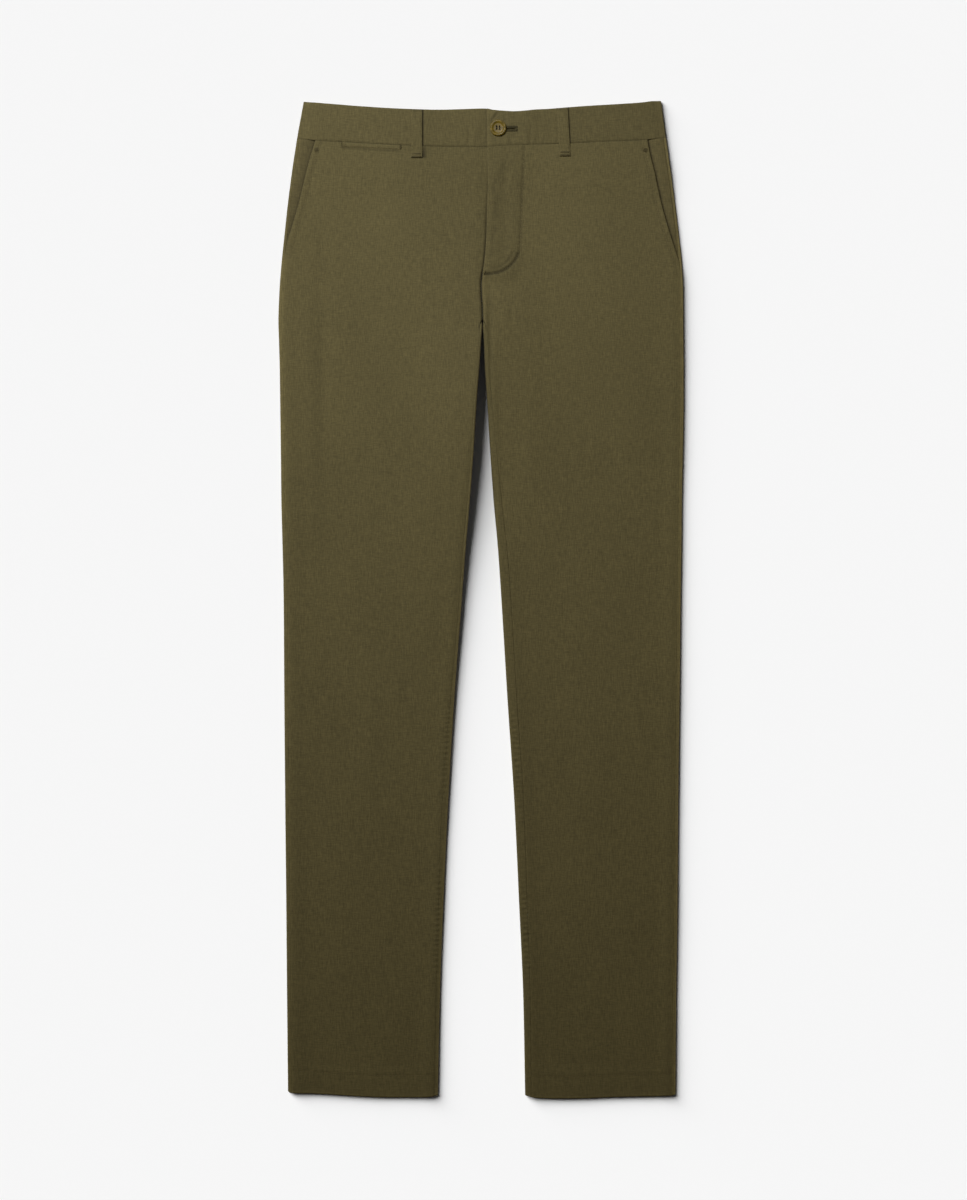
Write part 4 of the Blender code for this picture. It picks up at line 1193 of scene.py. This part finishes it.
# Materials, all of nodes over the garment's own coordinates in metres.
def newMaterial(name):
    material = bpy.data.materials.new(name)
    material.use_nodes = True
    nodes = material.node_tree.nodes
    shader = nodes["Principled BSDF"]
    return material, nodes, material.node_tree.links, shader


def scaledNoise(nodes, links, coordinates, scale, detail, turn=0.0):
    mapping = nodes.new("ShaderNodeMapping")
    mapping.inputs["Scale"].default_value = scale
    mapping.inputs["Rotation"].default_value = (0, 0, turn)
    links.new(coordinates, mapping.inputs["Vector"])
    noise = nodes.new("ShaderNodeTexNoise")
    noise.inputs["Scale"].default_value = 1
    noise.inputs["Detail"].default_value = detail
    links.new(mapping.outputs["Vector"], noise.inputs["Vector"])
    return noise.outputs["Fac"]


def ranged(nodes, links, value, low, high, fromLow=0.3, fromHigh=0.7):
    node = nodes.new("ShaderNodeMapRange")
    node.inputs["From Min"].default_value = fromLow
    node.inputs["From Max"].default_value = fromHigh
    node.inputs["To Min"].default_value = low
    node.inputs["To Max"].default_value = high
    links.new(value, node.inputs["Value"])
    return node.outputs["Result"]


def combined(nodes, links, operation, a, b):
    node = nodes.new("ShaderNodeMath")
    node.operation = operation
    for socket, value in zip(node.inputs, (a, b)):
        if isinstance(value, (int, float)):
            socket.default_value = value
        else:
            links.new(value, socket)
    return node.outputs["Value"]


def scaledColour(nodes, links, colour, tone, shader):
    # the colour, made lighter or darker by the tone
    node = nodes.new("ShaderNodeVectorMath")
    node.operation = "SCALE"
    node.inputs[0].default_value = colour
    links.new(tone, node.inputs["Scale"])
    links.new(node.outputs["Vector"], shader.inputs["Base Color"])


twillLook = {
    "colour": (0.116, 0.0935, 0.035), "roughness": 0.92, "sheen": 0.07, "sheenTint": (0.8, 0.72, 0.45, 1),
    "ribPitch": 0.62, "ribTurn": 0.95, "slub": 0.16, "weft": 0.13, "speckle": 0.06, "cloud": 0.04,
    "slubScale": (1000, 130, 700), "weftScale": (170, 1100, 700), "speckleScale": (2300, 2300, 2300),
    "cloudScale": (16, 9, 30), "relief": 0.4, "reliefDeep": 0.25,
}


def twill(name, look):
    material, nodes, links, shader = newMaterial(name)
    coordinates = nodes.new("ShaderNodeTexCoord").outputs["Object"]
    slub = scaledNoise(nodes, links, coordinates, look["slubScale"], 3)
    weft = scaledNoise(nodes, links, coordinates, look["weftScale"], 2)
    speckle = scaledNoise(nodes, links, coordinates, look["speckleScale"], 2)
    cloud = scaledNoise(nodes, links, coordinates, look["cloudScale"], 4)
    # the painted light and shade of each mesh scales the colour, together with the cloth's random tone
    paintedLightAndShade = nodes.new("ShaderNodeAttribute")
    paintedLightAndShade.attribute_name = "paintedLightAndShade"
    tone = ranged(nodes, links, slub, 1 - look["slub"], 1 + look["slub"])
    for value, amount in ((weft, look["weft"]), (speckle, look["speckle"]), (cloud, look["cloud"])):
        tone = combined(nodes, links, "MULTIPLY", tone, ranged(nodes, links, value, 1 - amount, 1 + amount))
    tone = combined(nodes, links, "MULTIPLY", tone, paintedLightAndShade.outputs["Fac"])
    scaledColour(nodes, links, look["colour"], tone, shader)
    ribs = nodes.new("ShaderNodeTexWave")
    ribs.inputs["Scale"].default_value = 0.314 / (look["ribPitch"] * mm)
    ribs.inputs["Distortion"].default_value = 1.5
    ribs.inputs["Detail"].default_value = 1
    turned = nodes.new("ShaderNodeMapping")
    turned.inputs["Rotation"].default_value = (0, 0, look["ribTurn"])
    links.new(coordinates, turned.inputs["Vector"])
    links.new(turned.outputs["Vector"], ribs.inputs["Vector"])
    relief = combined(nodes, links, "MULTIPLY", ribs.outputs["Fac"], 0.5)
    relief = combined(nodes, links, "ADD", relief, combined(nodes, links, "MULTIPLY", slub, 0.9))
    relief = combined(nodes, links, "ADD", relief, combined(nodes, links, "MULTIPLY", weft, 0.5))
    bump = nodes.new("ShaderNodeBump")
    bump.inputs["Strength"].default_value = look["relief"]
    bump.inputs["Distance"].default_value = look["reliefDeep"] * mm
    links.new(relief, bump.inputs["Height"])
    links.new(bump.outputs["Normal"], shader.inputs["Normal"])
    shader.inputs["Roughness"].default_value = look["roughness"]
    shader.inputs["Specular IOR Level"].default_value = 0.25
    shader.inputs["Sheen Weight"].default_value = look["sheen"]
    shader.inputs["Sheen Roughness"].default_value = 0.5
    shader.inputs["Sheen Tint"].default_value = look["sheenTint"]
    return material


def yarnMaterial(name, colour, scale=(2600, 2600, 2600), uneven=0.25, shine=0.2):
    material, nodes, links, shader = newMaterial(name)
    coordinates = nodes.new("ShaderNodeTexCoord").outputs["Object"]
    twist = scaledNoise(nodes, links, coordinates, scale, 2)
    scaledColour(nodes, links, colour, ranged(nodes, links, twist, 1 - uneven, 1 + uneven), shader)
    shader.inputs["Roughness"].default_value = 0.8
    shader.inputs["Specular IOR Level"].default_value = shine
    return material


hornLook = {
    "stops": ((0.32, (0.082, 0.057, 0.007, 1)), (0.7, (0.175, 0.118, 0.014, 1))),
    "clouds": (260, 420, 260), "roughness": 0.38, "shine": 0.18, "coat": 0.04, "coatRoughness": 0.2,
}


def hornMaterial():
    # golden olive horn: clouded, with darker streaks
    material, nodes, links, shader = newMaterial("hornButton")
    coordinates = nodes.new("ShaderNodeTexCoord").outputs["Object"]
    clouds = scaledNoise(nodes, links, coordinates, hornLook["clouds"], 5, 0.5)
    ramp = nodes.new("ShaderNodeValToRGB")
    for stop, (position, colour) in zip(ramp.color_ramp.elements, hornLook["stops"]):
        stop.position, stop.color = position, colour
    links.new(clouds, ramp.inputs["Fac"])
    links.new(ramp.outputs["Color"], shader.inputs["Base Color"])
    shader.inputs["Roughness"].default_value = hornLook["roughness"]
    shader.inputs["Specular IOR Level"].default_value = hornLook["shine"]
    shader.inputs["Coat Weight"].default_value = hornLook["coat"]
    shader.inputs["Coat Roughness"].default_value = hornLook["coatRoughness"]
    return material


def coat(piece, material):
    piece.data.materials.clear()
    piece.data.materials.append(material)


def dress(piece, material, slot, *nodes):
    coat(piece, material)
    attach(piece, "root")
    if nodes:
        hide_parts(*nodes)


cloth = twill("oliveTwill", twillLook)
# the bearer's twill is made a little darker, painted shade for the sunk pocket facing
bearer = twill("bearerTwill", {**twillLook, "colour": (0.115, 0.092, 0.035)})
topThread = yarnMaterial("topThread", (0.138, 0.11, 0.044))
tackThread = yarnMaterial("tackThread", (0.086, 0.069, 0.027))
darkThread = yarnMaterial("darkThread", (0.022, 0.018, 0.007))
holeThread = yarnMaterial("buttonholeThread", (0.056, 0.046, 0.018))
zipTape = yarnMaterial("zipTape", (0.06, 0.05, 0.03), (1500, 900, 900), 0.2, 0.5)

for piece, material, slot, node in (
    (fronts[right], cloth, "twill", "front_right"),
    (fronts[left], cloth, "twill", "front_left"),
    (backs[right], cloth, "twill", "back_right"),
    (backs[left], cloth, "twill", "back_left"),
    (bands[right], cloth, "twill", "waistband_right"),
    (bands[left], cloth, "twill", "waistband_left"),
    (pockets[right], bearer, "pocketing", "side_pocket_right"),
    (pockets[left], bearer, "pocketing", "side_pocket_left"),
    (weltPiece, cloth, "twill", "coin_pocket_welt"),
    (loops["loopFrontRight"], cloth, "twill", "belt_loop_front_right"),
    (loops["loopFrontLeft"], cloth, "twill", "belt_loop_front_left"),
    (backLoops["loopBackRight"], cloth, "twill", "belt_loop_back_right"),
    (backLoops["loopBackCentre"], cloth, "twill", "belt_loop_back_centre"),
    (backLoops["loopBackLeft"], cloth, "twill", "belt_loop_back_left"),
):
    dress(piece, material, slot, node)
for piece in sewing:
    dress(piece, tackThread if piece.name == "barTacks" else topThread, "twill")
dress(buttonholeEdge, holeThread, "twill")
dress(buttonPiece, hornMaterial(), "button", "waist_button")
for piece in buttonThreads:
    dress(piece, darkThread, "button")
coat(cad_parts["fly_zip"], zipTape)
print("materials set")


# The flat cut of each piece of cloth, as far as it shows: widest, length and area.
def flatCut(widthAt, top, bottom):
    downs = np.linspace(top, bottom, 300)
    widths = widthAt(downs) * mm
    length = (bottom - top) * mm
    return (float(widths.max()), length), float(widths.mean() * length)


def frontCut(side):
    lap = underlap if side == right else np.zeros_like

    def width(down):
        return frontOuter(side, down) - frontInner(side, down) + lap(down) * (down < fly["endDown"])

    return flatCut(width, float(waistSeam(0)), float(hemLine(side * 120)))


def backCut(side):
    # across the underside, round both edges and back to the two seams on top
    def width(down):
        shape, isOpen = leg[side], ease(down, panel["crotchDown"], panel["legsDown"])
        inner = mix(side * panel["backSeamX"], shape["inner"](down), isOpen)
        edges = edgeHeight(down) * (1 + isOpen)
        return shape["outer"](down) - inner + edges + shape["outseam"](down) + shape["inseam"](down) * isOpen

    return flatCut(width, float(waistSeam(0)), float(hemLine(side * 120)))


def bandCut(side):
    whole = 2 * bandEdge(side) + waistband["top"] - waistband["rise"]
    whole += fly["width"] if side == right else 0
    return (whole * mm, waistband["depth"] * mm), None


for side, name in sides.items():
    frontCut(side)
    backCut(side)
    bandCut(side)


# Stage: a pale floor, soft light from the upper left and the camera straight above.
stage = {"floor": 0.9, "frameMm": 1262.5, "lens": 85, "lookX": 1.84, "lookY": -0.2}


def makeFloor():
    bpy.ops.mesh.primitive_plane_add(size=8, location=(0, 0, 0))
    floor = bpy.context.object
    floor.name = "floor"
    material, nodes, links, shader = newMaterial("paleFloor")
    shader.inputs["Base Color"].default_value = (stage["floor"],) * 3 + (1,)
    shader.inputs["Roughness"].default_value = 1
    shader.inputs["Specular IOR Level"].default_value = 0
    floor.data.materials.append(material)
    return floor


# Soft lamps for the garment, placed in metres. The suns light the floor alone, so that it stays
# pale all over and takes soft shadows.
lamps = {
    "keyLight": {
        "at": (-0.34, 0.9, 1.17), "aim": (0, 0.05, 0), "size": 0.45, "power": 15.6,
        "colour": (0.95, 0.99, 1.12),
    },
    "fillLight": {
        "at": (0.2, 0.1, 2.6), "aim": (0, 0, 0), "size": 2.0, "power": 7.5, "colour": (1, 0.8, 0.35),
    },
    "sideLight": {
        "at": (-3, 0.3, 0.34), "aim": (0, 0, 0), "size": 0.6, "power": 20.0, "colour": (1, 0.96, 0.82),
    },
}
suns = {
    "floorSun": {"from": (-1, 0.85, 0.68), "power": 5.8, "spread": 50},
    "lowSun": {"from": (-1, 0.85, 0.25), "power": 2.4, "spread": 30},
}
worldLight = 0.035


def aimed(name, light, away):
    lamp = newObject(name, light)
    lamp.rotation_mode = "QUATERNION"
    lamp.rotation_quaternion = mathutils.Vector(away).to_track_quat("Z", "Y")
    return lamp


def makeLamp(name, look):
    light = bpy.data.lights.new(name, "AREA")
    light.shape, light.size, light.energy, light.color = "DISK", look["size"], look["power"], look["colour"]
    lamp = aimed(name, light, [a - b for a, b in zip(look["at"], look["aim"])])
    lamp.location = look["at"]
    return lamp


def makeSun(name, look):
    light = bpy.data.lights.new(name, "SUN")
    light.energy, light.angle = look["power"], math.radians(look["spread"])
    return aimed(name, light, look["from"])


def shineOn(lights, name, thing, state):
    group = bpy.data.collections.new(name)
    group.objects.link(thing)
    for member in group.collection_objects:
        member.light_linking.link_state = state
    for light in lights:
        light.light_linking.receiver_collection = group


floor = makeFloor()
garmentLights = [makeLamp(name, look) for name, look in lamps.items()]
floorLights = [makeSun(name, look) for name, look in suns.items()]
shineOn(floorLights, "floorOnly", floor, "INCLUDE")
shineOn(garmentLights, "notTheFloor", floor, "EXCLUDE")

world = bpy.data.worlds.new("studio")
world.use_nodes = True
world.node_tree.nodes["Background"].inputs["Color"].default_value = (1, 1, 1, 1)
world.node_tree.nodes["Background"].inputs["Strength"].default_value = worldLight
bpy.context.scene.world = world
bpy.context.scene.view_settings.view_transform = "Standard"

cameraData = bpy.data.cameras.new("camera")
cameraData.lens = stage["lens"]
camera = newObject("camera", cameraData)
cameraHeight = stage["frameMm"] * mm * stage["lens"] / cameraData.sensor_width
camera.location = (stage["lookX"] * mm, stage["lookY"] * mm, cameraHeight)
bpy.context.scene.camera = camera
print("stage set")
